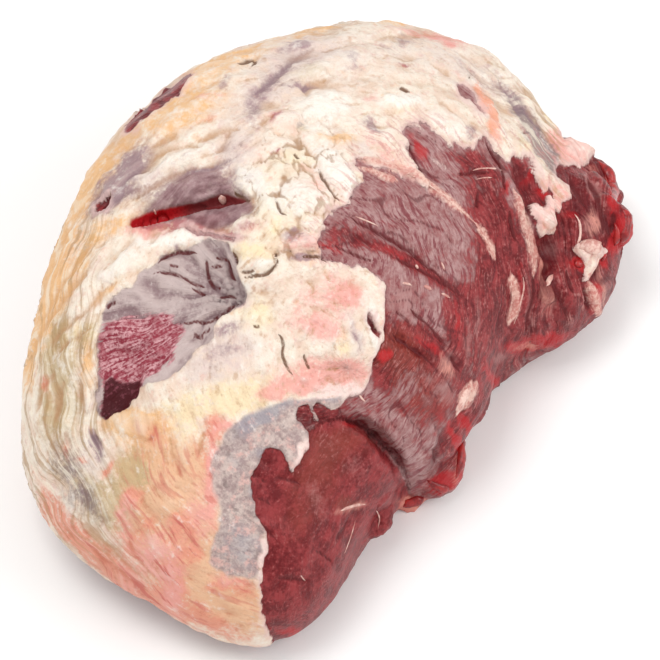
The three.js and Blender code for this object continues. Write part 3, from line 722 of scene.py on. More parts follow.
def laid_out(points, normals):
    """Each vertex's place in the layout, which runs on for the hidden sides, and how far round it is."""
    from_middle = points - VIEW_MIDDLE
    depth = from_middle @ BACK
    scale = EYE_DISTANCE / (EYE_DISTANCE - depth) / MM_PER_PIXEL
    seen = np.stack([from_middle @ RIGHT * scale, -(from_middle @ UP) * scale], 1)
    angle = np.arctan2(seen[:, 1], seen[:, 0])
    radius = np.hypot(*seen.T)
    slots = ((angle + math.pi) / (2 * math.pi) * OUTLINE_DIRECTIONS).astype(int) % OUTLINE_DIRECTIONS
    rim_angles = []
    rim_depths = []
    for slot in range(OUTLINE_DIRECTIONS):
        here = np.flatnonzero(slots == slot)
        rim = here[np.argsort(radius[here])[-RIM_VERTICES:]]
        rim_angles.append((slot + 0.5) / OUTLINE_DIRECTIONS * 2 * math.pi - math.pi)
        rim_depths.append(depth[rim].mean())
    rim_depth = np.interp(angle, rim_angles, rim_depths, period=2 * math.pi)
    to_eye = VIEW_MIDDLE + BACK * EYE_DISTANCE - points
    facing = (to_eye * normals).sum(1) / np.linalg.norm(to_eye, axis=1)
    hidden = soft(-facing, -0.06, 0.12)
    further = ROUND_THE_BACK * np.maximum(rim_depth - depth, 0) * hidden / MM_PER_PIXEL
    plan = seen * (1 + further / np.maximum(radius, 1))[:, None] + FRAME_PIXELS / 2
    return plan, soft(further, 4, 40)


def keep(mesh, name, values):
    """Keeps a number or a place for each vertex on the mesh, for the material to read."""
    kind = "FLOAT" if values.ndim == 1 else "FLOAT_VECTOR"
    kept = mesh.attributes.new(name, kind, "POINT")
    kept.data.foreach_set("value" if values.ndim == 1 else "vector", values.astype(np.float32).ravel())


def borders(points, normals, plan, wander, frayed):
    """How deep each vertex lies in the lean, the window, the gash and the skin, each with a ragged edge."""
    drawn = plan + wander * 2.2
    lean = depth_inside(drawn, LEAN_OUTLINE)
    for outline in LEAN_ISLANDS.values():
        lean = np.maximum(lean, depth_inside(drawn, outline))
    for outline in FAT_ISLANDS.values():
        lean = np.minimum(lean, -depth_inside(drawn, outline))
    lean += frayed * 2.6 * marks(drawn, "frayed_edge")
    underside = (LEAN_UNDER + noise_at(points, 30, 5) * LEAN_UNDER_WAVE - points[:, 2]) * 0.5
    underside = np.where(normals[:, 2] < 0.1, underside, -9)
    ragged = {
        "window": WINDOW_OUTLINE, "window_muscle": WINDOW_MUSCLE, "window_corner": WINDOW_CORNER,
        "gash_film": GASH_FILM, "silverskin": SILVERSKIN_OUTLINE,
    }
    return {
        "lean": np.clip(np.maximum(lean, underside), -DEEPEST_KEPT, DEEPEST_KEPT),
        "gash": depth_inside(plan + wander * 0.8, GASH_OUTLINE),
        "face": depth_inside(plan, FACE_OUTLINE),
        **{name: depth_inside(drawn, outline) for name, outline in ragged.items()},
    }


def marks(plan, name):
    """Noise of about -1 to 1 in the long marks of that kind."""
    pole, across, along, seed = MARKS[name]
    return noise_at(about(plan, pole, across, along), 1, seed)


def ridges(plan, name):
    """The same marks as ridges with sharp gaps between them, that rise and sink as much."""
    return np.abs(marks(plan, name)) - RIDGE_MIDDLE


def fat_relief(points, plan, drifted, wander, zones, on_skin):
    """How high the fat stands, with its pillows and folds, how deep between pillows it is, and their tint."""
    puffy, calm, striped, wrinkled = (zones[name] for name in ("puffy", "calm", "striped", "wrinkled"))
    warped = points + 3.5 * np.column_stack([wander, wander[:, 0]])
    pillows, tint = pillows_at(warped, PILLOW_SIZE, 16)
    small_pillows, _ = pillows_at(warped, SMALL_PILLOW_SIZE, 22)
    height = puffy * HEIGHTS["pillows"] * (pillows - PILLOW_MIDDLE)
    height += puffy * HEIGHTS["small_pillows"] * (small_pillows - PILLOW_MIDDLE)
    folded = (1 - 0.6 * puffy) * (1 - 0.6 * calm) * (1 - 0.6 * wrinkled) * (1 - 0.5 * striped)
    height += folded * HEIGHTS["folds"] * (marks(drifted, "folds") + 0.5 * marks(drifted, "small_folds"))
    height += striped * HEIGHTS["stripes"] * ridges(plan + wander * 2.5, "stripes")
    height += wrinkled * HEIGHTS["wrinkles"] * ridges(drifted, "wrinkles")
    crumple = noise_at(points, CRUMPLE_SIZE, 13) + 0.5 * noise_at(points, CRUMPLE_SIZE / 2, 24)
    height += (HEIGHTS["crumple"] - 0.15 * calm) * crumple
    height += on_mounds(plan + wander * 3.0, PUFFS)
    pleats = HEIGHTS["pleats"] * ridges(plan + wander * 1.5, "pleats")
    height = height * (1 - 0.6 * on_skin) + on_skin * pleats
    return height, soft(-pillows, -0.6, -0.25) * puffy, tint


def lean_relief(plan, swirl, on_face):
    """How high the lean stands: fine fibres over bundles that run the way each muscle does, and where painted
    shade goes in the gaps between bundles.
    """
    strokes = np.where(on_face, ridges(plan, "face_strokes"), ridges(plan, "strokes"))
    upright = soft(plan[:, 0], 450, 500)
    bundles = np.abs(marks(swirl, "seam_bundles")) * (1 - upright)
    bundles += np.abs(marks(swirl, "upright_bundles")) * upright
    bundles = np.where(on_face, np.abs(marks(swirl, "face_bundles")), bundles)
    bundle_height = np.where(on_face, HEIGHTS["face_bundles"], HEIGHTS["bundles"])
    height = HEIGHTS["strokes"] * strokes + bundle_height * (np.minimum(bundles, 0.5) - RIDGE_MIDDLE)
    return height, soft(-bundles, -0.08, -0.01) * np.where(on_face, 0.4, 1)


def torn_crags(points):
    """The crags of torn flesh, as ridges of two sizes."""
    crags = HEIGHTS["crags"] * (0.5 - 1.6 * np.abs(noise_at(points, CRAG_SIZE, 12)))
    return crags + HEIGHTS["small_crags"] * (0.35 - np.abs(noise_at(points, SMALL_CRAG_SIZE, 27)))


def beef_topside():
    mesh = fine_copy()
    points = read(mesh.vertices, "co") / METRES
    normals = read(mesh.vertex_normals, "vector")
    plan, round_the_back = laid_out(points, normals)
    wander = np.stack([
        noise_at(points, 7, 1) + noise_at(points, 3, 2) * 0.4,
        noise_at(points, 7, 3) + noise_at(points, 3, 4) * 0.4,
    ], 1)
    slow = plan + np.column_stack([noise_at(points, 30, 14), noise_at(points, 30, 15)]) * 9
    drifted = slow + wander * 2.5
    swirl = plan + np.column_stack([noise_at(points, 16, 17), noise_at(points, 16, 18)]) * 9

    zones = {name: np.minimum(in_patches(plan, places), 1) for name, places in ZONES.items()}
    depths = borders(points, normals, plan, wander, zones["frayed"])
    lean, window, gash = depths["lean"], depths["window"], depths["gash"]
    patches = {name: in_patches(plan + wander * 2.5, places) for name, places in PATCHES.items()}
    patches["naked"] += 1.2 * soft(depths["face"], -1, 4)
    furrow, furrow_depth = on_lines(plan + wander * 0.9, FURROWS)
    crease, crease_depth = on_lines(plan + wander * 1.5, CREASES)
    sinew, sinew_height = on_lines(plan + wander * 0.9, SINEWS)
    fat = soft(-lean, -0.6, 0.9)
    on_skin = soft(depths["silverskin"], -2, 3)
    fat_height, valleys, tint = fat_relief(points, plan, drifted, wander, zones, on_skin)
    fat_height -= crease_depth
    on_face = depths["face"] > 0
    lean_height, bundle_gap_shade = lean_relief(plan, swirl, on_face)
    fan = marks(plan + (swirl - plan) * 0.8, "fan")
    small_fan = marks(swirl, "small_fan")
    crags = zones["torn"] * torn_crags(points)

    relief = HEIGHTS["swell"] * noise_at(points, 11, 11) + fat * fat_height + (1 - fat) * lean_height
    relief += on_mounds(plan + wander * 2.5, LUMPS) - in_patches(plan + wander * 2.2, HOLLOWS)
    lean_height += crags
    relief += crags * fat * 0.6
    relief += fat * (FAT_STEP + FAT_RIM * np.exp(np.minimum(lean, 0) / RIM_WIDTH))
    relief -= (1 - fat) * FAT_RIM * np.exp(-np.maximum(lean, 0) / RIM_WIDTH)
    in_window = soft(window, 0, 2)
    window_folds = HEIGHTS["fan"] * fan + HEIGHTS["small_fan"] * small_fan
    relief = relief * (1 - 0.7 * in_window) + in_window * window_folds - WINDOW_DEPTH * soft(window, -1, 1)
    relief -= furrow_depth
    relief = np.where(gash > -1, relief * 0.3, relief) - GASH_DEPTH * soft(gash, -0.6, 3.0)
    relief += sinew_height
    relief *= soft(points[:, 2], FLAT_UP_TO, FULL_RELIEF_FROM)
    points = points + normals * relief[:, None]
    points[:, 2] = np.maximum(points[:, 2], 0)
    mesh.vertices.foreach_set("co", (points * METRES).astype(np.float32).ravel())
    mesh.update()
    keep(mesh, "fat_grain", about(slow, FAT_POLE, 1, 9))
    along_strokes = about(plan + (swirl - plan) * 0.4, STROKE_POLE, 1, 9)
    keep(mesh, "stroke_grain", np.where(on_face[:, None], about(swirl, FACE_POLE, 1, 9), along_strokes))
    keep(mesh, "fan_grain", about(plan + (swirl - plan) * 0.25, WRINKLE_POLE, 8, 3))
    kept = {
        **depths, **patches, "furrow": furrow, "crease": crease, "sinew": sinew, "valleys": valleys,
        "bundle_gap_shade": bundle_gap_shade, **{name: zones[name] for name in ("striped", "puffy", "wrinkled", "frayed")},
        "fat_height": fat_height, "round_the_back": round_the_back, "gash_shade": soft(plan[:, 0], 150, 215),
        "window_folds": fan + 0.5 * small_fan, "tint": tint, "lean_height": lean_height,
    }
    for name, values in kept.items():
        keep(mesh, name, values)
    for polygon in mesh.polygons:
        polygon.use_smooth = True
    return shown("beef_topside", mesh)


# Strips that stand free of the meat: half width and thickness in mm, then the path
SINEW_STRIPS = {
    "gash_thread": (0.7, 0.9, [(153, 207), (155, 212), (157, 217)]),
    "gash_band": (1.8, 1.2, [(220, 192), (223, 200), (224, 209)]),
    "hollow_ring": (0.9, 0.9, [(570, 210), (578, 217), (581, 228), (580, 241), (573, 250)]),
    "knob": (4.2, 2.6, [(574, 250), (585, 245), (597, 247), (603, 254)]),
    "knob_tail": (1.8, 1.2, [(601, 253), (596, 264), (590, 274), (586, 282)]),
    "wet_streak": (2.4, 0.9, [(474, 383), (466, 394), (459, 407), (455, 423)]),
    "face_sinew": (0.9, 0.5, [(336, 513), (344, 509), (353, 506), (362, 504), (369, 505)]),
    "face_thread": (0.4, 0.35, [(357, 514), (353, 530), (348, 545), (341, 562)]),
    "face_edge_thread": (0.45, 0.35, [(374, 507), (380, 516), (379, 524), (377, 532)]),
    "face_corner": (0.5, 0.35, [(298, 570), (302, 578), (308, 583)]),
    "pad_thread": (0.4, 0.4, [(350, 214), (362, 219), (372, 223), (384, 229)]),
    "white_fleck": (0.5, 0.4, [(440, 259), (443, 266), (446, 273)]),
    "cream_fleck": (0.9, 0.5, [(415, 263), (417, 267), (419, 270)]),
    "wet_fleck_1": (0.8, 0.5, [(399, 283), (407, 283), (415, 287)]),
    "wet_fleck_2": (1.0, 0.5, [(421, 285), (428, 287), (434, 291)]),
    "wet_fleck_3": (0.7, 0.5, [(438, 292), (446, 295), (453, 300)]),
    "column_thread_1": (0.5, 0.4, [(512, 264), (509, 276), (513, 290), (512, 304), (506, 320)]),
    "column_thread_2": (0.5, 0.4, [(521, 270), (525, 284), (522, 298), (517, 316), (511, 332)]),
    "end_flap": (1.2, 0.7, [(556, 271), (549, 279), (545, 291)]),
    "arc_1": (0.5, 0.4, [(466, 173), (479, 168), (494, 168), (508, 172)]),
    "arc_2": (0.4, 0.3, [(470, 181), (484, 177), (498, 178)]),
    "seam_thread": (0.55, 0.5, [
        (396, 170), (420, 178), (444, 196), (462, 211), (479, 226), (488, 242), (493, 258),
    ]),
    "flap_thread": (0.5, 0.4, [(357, 392), (362, 399), (368, 404)]),
}
FLESH_STRIPS = {
    "rim": (4.0, 3.6, [(592, 158), (604, 165), (612, 177), (614, 194), (613, 212)]),
    "point": (4.0, 3.4, [(618, 205), (628, 214), (629, 226), (624, 238), (618, 248)]),
    "bright_lip": (2.4, 2.2, [(612, 218), (617, 228), (618, 240), (612, 250)]),
    "lip": (2.2, 1.8, [(571, 259), (578, 264), (587, 267)]),
    "short_lip": (1.6, 1.6, [(605, 251), (604, 258), (599, 264)]),
    "slab_edge": (3.0, 2.4, [(464, 436), (463, 452), (459, 470), (453, 486)]),
    "slab_foot": (3.0, 2.6, [(455, 490), (444, 490), (432, 484), (424, 478)]),
    "scrap": (4.0, 3.4, [(399, 510), (408, 503), (420, 500), (426, 495)]),
}
STRIP_SIDES = 10
STRIP_STEP = 2.0
# How a strip's width starts at its ends and grows along it, and how uneven it is, with lumps of that many mm
STRIP_END = 0.15
STRIP_SWELL = 3.2
STRIP_UNEVEN = 0.7
STRIP_LUMP = 9


def smoothed(values, rounds):
    """Evens out a run of places, with its ends kept."""
    for _ in range(rounds):
        values = np.concatenate([values[:1], (values[:-2] + 2 * values[1:-1] + values[2:]) / 4, values[-1:]])
    return values


def on_the_surface(path, body_surface):
    """The places and the upward directions where the eye meets the meat along a path in the layout."""
    eye = Vector(VIEW_MIDDLE + BACK * EYE_DISTANCE)
    places = []
    ups = []
    for x, y in (rounded(path, closed=False, rounds=2) - FRAME_PIXELS / 2) * MM_PER_PIXEL:
        aim = Vector(VIEW_MIDDLE + RIGHT * x - UP * y)
        place, up, _, _ = body_surface.ray_cast(eye, aim - eye)
        if place is None:
            place, up, _, _ = body_surface.find_nearest(aim)
        places.append(np.array(place))
        ups.append(np.array(up))
    return smoothed(np.array(places), 2), smoothed(np.array(ups), 4)


def strips(name, paths, body_surface, sunk):
    """Draws a ball out along each path over the meat, uneven in width, and joins them as one piece."""
    shape = bmesh.new()
    for number, (half_width, thickness, path) in enumerate(paths.values()):
        places, ups = on_the_surface(path, body_surface)
        run = np.concatenate([[0], np.cumsum(np.linalg.norm(np.diff(places, axis=0), axis=1))])
        ball = bmesh.ops.create_uvsphere(
            shape, u_segments=STRIP_SIDES, v_segments=max(8, int(run[-1] / STRIP_STEP)), radius=1)
        for vert in ball["verts"]:
            share = math.acos(max(-1, min(1, vert.co.z))) / math.pi * run[-1]
            middle, up = (np.array([np.interp(share, run, values[:, axis]) for axis in range(3)])
                          for values in (places, ups))
            ahead = np.array([np.interp(min(share + 1, run[-1]), run, places[:, axis])
                              - np.interp(max(share - 1, 0), run, places[:, axis]) for axis in range(3)])
            side = np.cross(ahead, up)
            side /= max(np.linalg.norm(side), 1e-6)
            up /= np.linalg.norm(up)
            full = min(1, STRIP_SWELL * min(share, run[-1] - share) / run[-1] + STRIP_END)
            lump = 1 + STRIP_UNEVEN * noise.noise(tuple(middle / STRIP_LUMP + number))
            size = max(math.hypot(vert.co.x, vert.co.y), 1e-6)
            where = middle - up * sunk * thickness * full
            if size > 1e-3:
                where += side * (vert.co.x / size * half_width * full * lump)
                where += up * (vert.co.y / size * thickness * full * lump)
            vert.co = Vector(where * METRES)
    for face in shape.faces:
        face.smooth = True
    bmesh.ops.recalc_face_normals(shape, faces=shape.faces)
    mesh = bpy.data.meshes.new(name)
    shape.to_mesh(mesh)
    shape.free()
    made = shown(name, mesh)
    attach(made, "root")
    return made


def linear(colour):
    """An sRGB colour written as a hex number, as the linear colour that a material takes."""
    parts = [((colour >> shift) & 255) / 255 for shift in (16, 8, 0)]
    return [c / 12.92 if c <= 0.04045 else ((c + 0.055) / 1.055) ** 2.4 for c in parts] + [1]


def add(tree, kind, inputs=(), give=0, **settings):
    """Adds a node, sets it and joins its inputs, where a word stands for a value that is kept on the mesh."""
    node = tree.nodes.new("ShaderNode" + kind)
    for name, value in settings.items():
        setattr(node, name, value)
    for place, value in dict(inputs).items():
        socket = node.inputs[place]
        if isinstance(value, str):
            kept = tree.nodes.get(value) or tree.nodes.new("ShaderNodeAttribute")
            kept.name = kept.attribute_name = value
            value = kept.outputs["Vector" if socket.type == "VECTOR" else "Fac"]
        if isinstance(value, bpy.types.NodeSocket):
            tree.links.new(value, socket)
        else:
            socket.default_value = linear(value) if socket.type == "RGBA" else value
    return node.outputs[give] if node.outputs else node


def total(tree, start, *parts):
    """Adds up values, each with its weight, on top of a plain number."""
    for value, weight in parts:
        start = add(tree, "Math", {0: value, 1: weight, 2: start}, operation="MULTIPLY_ADD")
    return start


def laid_over(tree, under, over, value, low, high, most=1.0):
    """Lays a colour over another where a value goes from low to high, covering at most that share of it."""
    share = add(tree, "MapRange", {"Value": value, "From Min": low, "From Max": high, "To Max": most},
                interpolation_type="SMOOTHSTEP")
    return add(tree, "MixRGB", {"Fac": share, "Color1": under, "Color2": over})


def layered(tree, colour, *layers):
    """Lays one colour after another over a first one, each as laid_over does."""
    for layer in layers:
        colour = laid_over(tree, colour, *layer)
    return colour


def noise_over(tree, places, scale, seed, detail, rough):
    """Noise from 0 to 1 over places that are scaled, in a part of the noise that is the seed's own."""
    shift = [seed * step for step in COLOUR_SEED_STEP]
    place = add(tree, "VectorMath", {0: places, 1: scale, 2: shift}, operation="MULTIPLY_ADD")
    return add(tree, "TexNoise", {"Vector": place, "Scale": 1.0, "Detail": detail, "Roughness": rough})


def mottle(tree, lump, detail=2.0, seed=0.0, rough=0.5):
    """Noise with lumps of that many mm."""
    return noise_over(tree, add(tree, "TexCoord", give=3), [1 / (METRES * lump)] * 3, seed, detail, rough)


def grain(tree, kept, across, along, detail=2.0, seed=0.0, rough=0.5):
    """Noise in marks of that many mm across and, 90 mm from the pole that they run round, along."""
    return noise_over(tree, kept, (1 / across, 9 / along, 9 / along), seed, detail, rough)


def empty_material(name):
    """A new material, and the tree that its nodes go into."""
    made = bpy.data.materials.new(name)
    made.use_nodes = True
    made.node_tree.nodes.clear()
    return made, made.node_tree


# The kinds of patch in the fat cover, with the colour of each and how much it covers
FAT_COLOURS = {
    "veil": (0xDFC9C2, 0.7), "yellow": (0xF8E2B6, 0.75), "warm": (0xEDBA82, 0.9),
    "peach": (0xE9B48C, 0.85), "olive": (0xC6AE82, 0.75), "salmon": (0xE8957C, 0.85),
    "blush": (0xEFA69C, 0.85), "white": (0xFAF3E9, 0.85), "shell": (0xF6DCD4, 0.9),
    "grey": (0x8E7A78, 0.85), "lilac": (0xA08086, 0.85), "orange": (0xF0A486, 0.95),
    "rose": (0xAE6066, 0.9),
}
# The large patches in the fat of the hidden sides: how many mm each is across, and its colour
HIDDEN_PATCHES = ((46, 0xE6B683), (34, 0xF7ECDD), (40, 0xDDB4A8), (28, 0xB59A98))
# The colours that those sides turn to between the patches
HIDDEN_TINTS = (0xE9B98E, 0xD9B9B2, 0xE9A896)


def fat_colour(tree, broad, fine, crumple):
    """Beef fat: creamy white and waxy, warm where it has dried, with painted tan and lilac shade in its
    hollows and painted highlights on its rises.
    """
    colour = laid_over(tree, 0xEBD3C0, 0xF4E8D8, broad[0], 0.36, 0.62)
    colour = laid_over(tree, colour, 0xEFCFC0, broad[1], 0.5, 0.68, 0.5)
    in_puffs = add(tree, "Math", {0: "tint", 1: "puffy"}, operation="MULTIPLY")
    colour = layered(
        tree, colour,
        (0xF5E4C0, in_puffs, 0.25, 0.8, 0.4),
        (0xEFC4B2, in_puffs, -0.25, -0.8, 0.5),
    )
    for hue, spread in zip(HIDDEN_TINTS, broad):
        tinted = total(tree, -0.5, (spread, 1.6), ("round_the_back", 0.25))
        colour = laid_over(tree, colour, hue, tinted, 0.42, 0.75, 0.7)
    behind = total(tree, 0, ("round_the_back", 0.75))
    for number, (lump, hue) in enumerate(HIDDEN_PATCHES):
        spread = total(tree, 0, (mottle(tree, lump, 6, 41 + number, 0.6), 0.9), (fine, 0.1))
        colour = laid_over(tree, colour, hue, spread, 0.5, 0.6, behind)
    uneven = [total(tree, -1.3, (spread, 2.8), (fine, 1.8)) for spread in broad]
    for number, (kind, (hue, most)) in enumerate(FAT_COLOURS.items()):
        value = add(tree, "Math", {0: kind, 1: uneven[number % 3]}, operation="MULTIPLY")
        colour = laid_over(tree, colour, hue, value, 0.12, 0.95, most)
    dull = total(tree, 0, ("veil", 0.5), ("lilac", 1), ("grey", 1))
    # Painted shade: the colour that darkens the fat in its pits, low places and creases, tinted by the patch
    # it lies on
    shade = laid_over(tree, 0xC0946E, 0xDDAA78, "warm", 0.1, 0.8)
    shade = layered(
        tree, shade,
        (0x8F747A, dull, 0.2, 1.0),
        (0xCC7456, total(tree, 0, ("peach", 0.6), ("salmon", 1)), 0.3, 1.2),
    )
    streaks = grain(tree, "fat_grain", 1.8, 22, 3, 6)
    dark_streak = laid_over(tree, 0xAA8454, 0x6E5A60, dull, 0.4, 1.2)
    colour = layered(
        tree, colour,
        (dark_streak, streaks, 0.5, 0.62, total(tree, 0.02, ("striped", 0.6))),
        (0xF8ECD8, streaks, 0.46, 0.36, total(tree, 0.0, ("striped", 0.6))),
        # painted shade in the pits of the crumpled finish and painted highlights on its rises, then the same
        # in the low and high places of the fat
        (shade, crumple, 0.47, 0.33, 0.6),
        (0xFCF5EC, crumple, 0.54, 0.68, 0.55),
        (shade, total(tree, 0.3, ("fat_height", 1), (fine, -0.6)), -0.1, -1.8, 0.6),
        (0xFBF4EA, total(tree, -0.3, ("fat_height", 1), (fine, 0.6)), 0.4, 2.8, 0.35),
    )
    # painted shade along the creases and between the pillows
    line = total(tree, -1.2, ("crease", 1), (broad[0], 1.4), (fine, 0.8))
    colour = layered(
        tree, colour,
        (shade, line, 1.2, 2.1, 0.6),
        (0x9C7048, total(tree, -0.7, ("valleys", 1), (broad[1], 1.4)), 0.3, 1.0, 0.6),
        (0xC79E88, fine, 0.58, 0.78, 0.35),
    )
    bloody = total(tree, 0, ("peach", 0.3), ("salmon", 0.4), ("blush", 0.2))
    colour = laid_over(tree, colour, 0xCE6E62, grain(tree, "fat_grain", 3.0, 12, 5, 31), 0.53, 0.64, bloody)
    torn = total(tree, 0, (grain(tree, "stroke_grain", 1.4, 14, 3, 32), 0.7), (fine, 0.3))
    colour = laid_over(tree, colour, 0xC98A86, torn, 0.52, 0.62, total(tree, 0, ("frayed", 0.55)))
    film = total(tree, 0, ("lean", 1), (fine, 2), (grain(tree, "stroke_grain", 1.6, 12, 2, 13), 6))
    return laid_over(tree, colour, 0xE6C2BC, film, 0.5, 4.5, 0.75)


def silverskin_colour(tree, broad, fine, crumple):
    """Silverskin: a thin wet sheet, pink grey with a faint blue cast over what is under it, with painted
    shade in its pits and painted highlights on its rises.
    """
    colour = laid_over(tree, 0xA48C8A, 0xCFBBB3, total(tree, 0, (broad[2], 0.6), (fine, 0.5)), 0.44, 0.68)
    return layered(
        tree, colour,
        (0x9698A4, total(tree, -0.4, ("blue", 0.8), (broad[0], 0.8)), 0.2, 0.9, 0.6),
        (0xE6B2A8, total(tree, 0, (broad[1], 0.8), (fine, 0.2)), 0.5, 0.64, 0.6),
        # painted shade in the pits of the crumpled finish and painted highlights on its rises
        (0x80706F, crumple, 0.46, 0.34, 0.6),
        (0xF2E6E2, total(tree, 0, (crumple, 0.8), (fine, 0.2)), 0.54, 0.67, 0.6),
    )


def lean_colour(tree, broad, fine, strokes, fibres):
    """Raw muscle: red flesh in fibres, under a thin dull mauve film that splits open along the grain, with
    painted shade in its grooves and gaps and painted sheen, glints and highlights.
    """
    uneven = total(tree, 0, (broad[0], 0.6), (strokes, 0.4), (fine, 0.4))
    flesh = laid_over(tree, 0x661318, 0x963638, uneven, 0.58, 0.82)
    flesh = layered(
        tree, flesh,
        (0x86382A, total(tree, -0.3, ("brown", 1), (broad[1], 0.6)), 0.2, 1.0, 0.6),
        # pale streaks along the fibres: partly their own colour and partly painted glints
        (0xBE7D78, total(tree, 0, (fibres, 0.6), (fine, 0.4)), 0.53, 0.64, 0.5),
        (0x560F17, total(tree, 0, (fibres, 0.6), (strokes, 0.4)), 0.46, 0.38, 0.5),
    )
    film = laid_over(tree, 0x96605F, 0xB18A88, total(tree, 0, (broad[1], 0.6), (fine, 0.4)), 0.38, 0.62)
    film = layered(
        tree, film,
        (0x782A34, strokes, 0.5, 0.61, 0.75),
        # pale streaks along the fibres: partly the film's own colour and partly painted highlights
        (0xCBA7A3, fibres, 0.54, 0.68, 0.4),
    )
    opened = total(tree, -0.62, ("naked", 0.7), (broad[0], 1.1), (strokes, 0.5), (fine, 0.25))
    colour = laid_over(tree, film, flesh, opened, 0.3, 0.75)
    colour = layered(
        tree, colour,
        # painted sheen and glints, then painted shade in the grooves and painted highlights on the crests
        (0xAC7874, total(tree, -0.8, ("sheen", 0.9), (fine, 0.8), (fibres, 0.8)), 0.1, 0.7, 0.55),
        (0x5A1017, total(tree, 0, ("lean_height", 1), (fine, -1)), -0.8, -2.6, 0.6),
        (0xCC908A, total(tree, 0, ("lean_height", 1), (fibres, 2)), 1.9, 3.2, 0.5),
    )
    edge = total(tree, 0.2, ("lean", -0.35), ("naked", -0.5), (strokes, 1.4))
    colour = laid_over(tree, colour, 0xCDA9A6, edge, 0.35, 0.95, 0.7)
    fresh = total(tree, -1.0, ("fresh", 1), (broad[2], 1), (fine, 0.4), (strokes, 0.6))
    colour = laid_over(tree, colour, 0xB81A20, fresh, 0.2, 0.95, 0.8)
    pale = total(tree, -0.8, ("pale", 1), (broad[1], 0.8), (fibres, 0.8))
    return layered(
        tree, colour,
        (0xE29A8A, pale, 0.2, 0.9, 0.8),
        # painted shade in the gaps between bundles
        (0x5A151C, total(tree, -0.3, ("bundle_gap_shade", 1), (fine, 0.6)), 0.2, 0.9, 0.6),
        # darker flesh, partly painted shade in the hollows
        (0x541016, total(tree, -0.4, ("dark", 1), (broad[0], 0.8)), 0.25, 1.1, 0.6),
    )


def window_colour(tree, broad, fine, streaks, crumple):
    """The gap in the fat: a grey mauve film in folds with painted shade and highlights on them, dark red
    muscle with pink marbling, and wet blood.
    """
    # Painted shade in the folds of the film and painted highlights on them
    light = total(
        tree, -0.1, ("window_folds", 0.35), (broad[1], 0.5), (streaks, 0.3), (fine, 0.4), (crumple, 0.5))
    colour = laid_over(tree, 0x8E7476, 0xC4B0AC, light, 0.38, 0.9)
    colour = laid_over(tree, colour, 0xD2C4C0, total(tree, 0, (fine, 0.5), (crumple, 0.5)), 0.54, 0.66, 0.6)
    specks = grain(tree, "fan_grain", 1.0, 4, 2, 31)
    marbled = laid_over(tree, 0x8C2C3C, 0xD4A0A4, total(tree, 0, (specks, 0.45), (fine, 0.55)), 0.42, 0.6)
    marbled = laid_over(tree, marbled, 0x9A3A48, broad[2], 0.46, 0.66, 0.6)
    ragged = (fine, 3.0)
    on_muscle = total(tree, -1.5, ("window_muscle", 1), ragged, (specks, 8))
    colour = laid_over(tree, colour, marbled, on_muscle, 2.6, 5.0)
    wet = laid_over(tree, 0x4A1018, 0x7A3A46, total(tree, 0, (streaks, 0.6), (fine, 0.5)), 0.55, 0.7)
    in_corner = total(tree, -1.5, ("window_corner", 1), ragged, (streaks, 4))
    return laid_over(tree, colour, wet, in_corner, 0.8, 2.8)


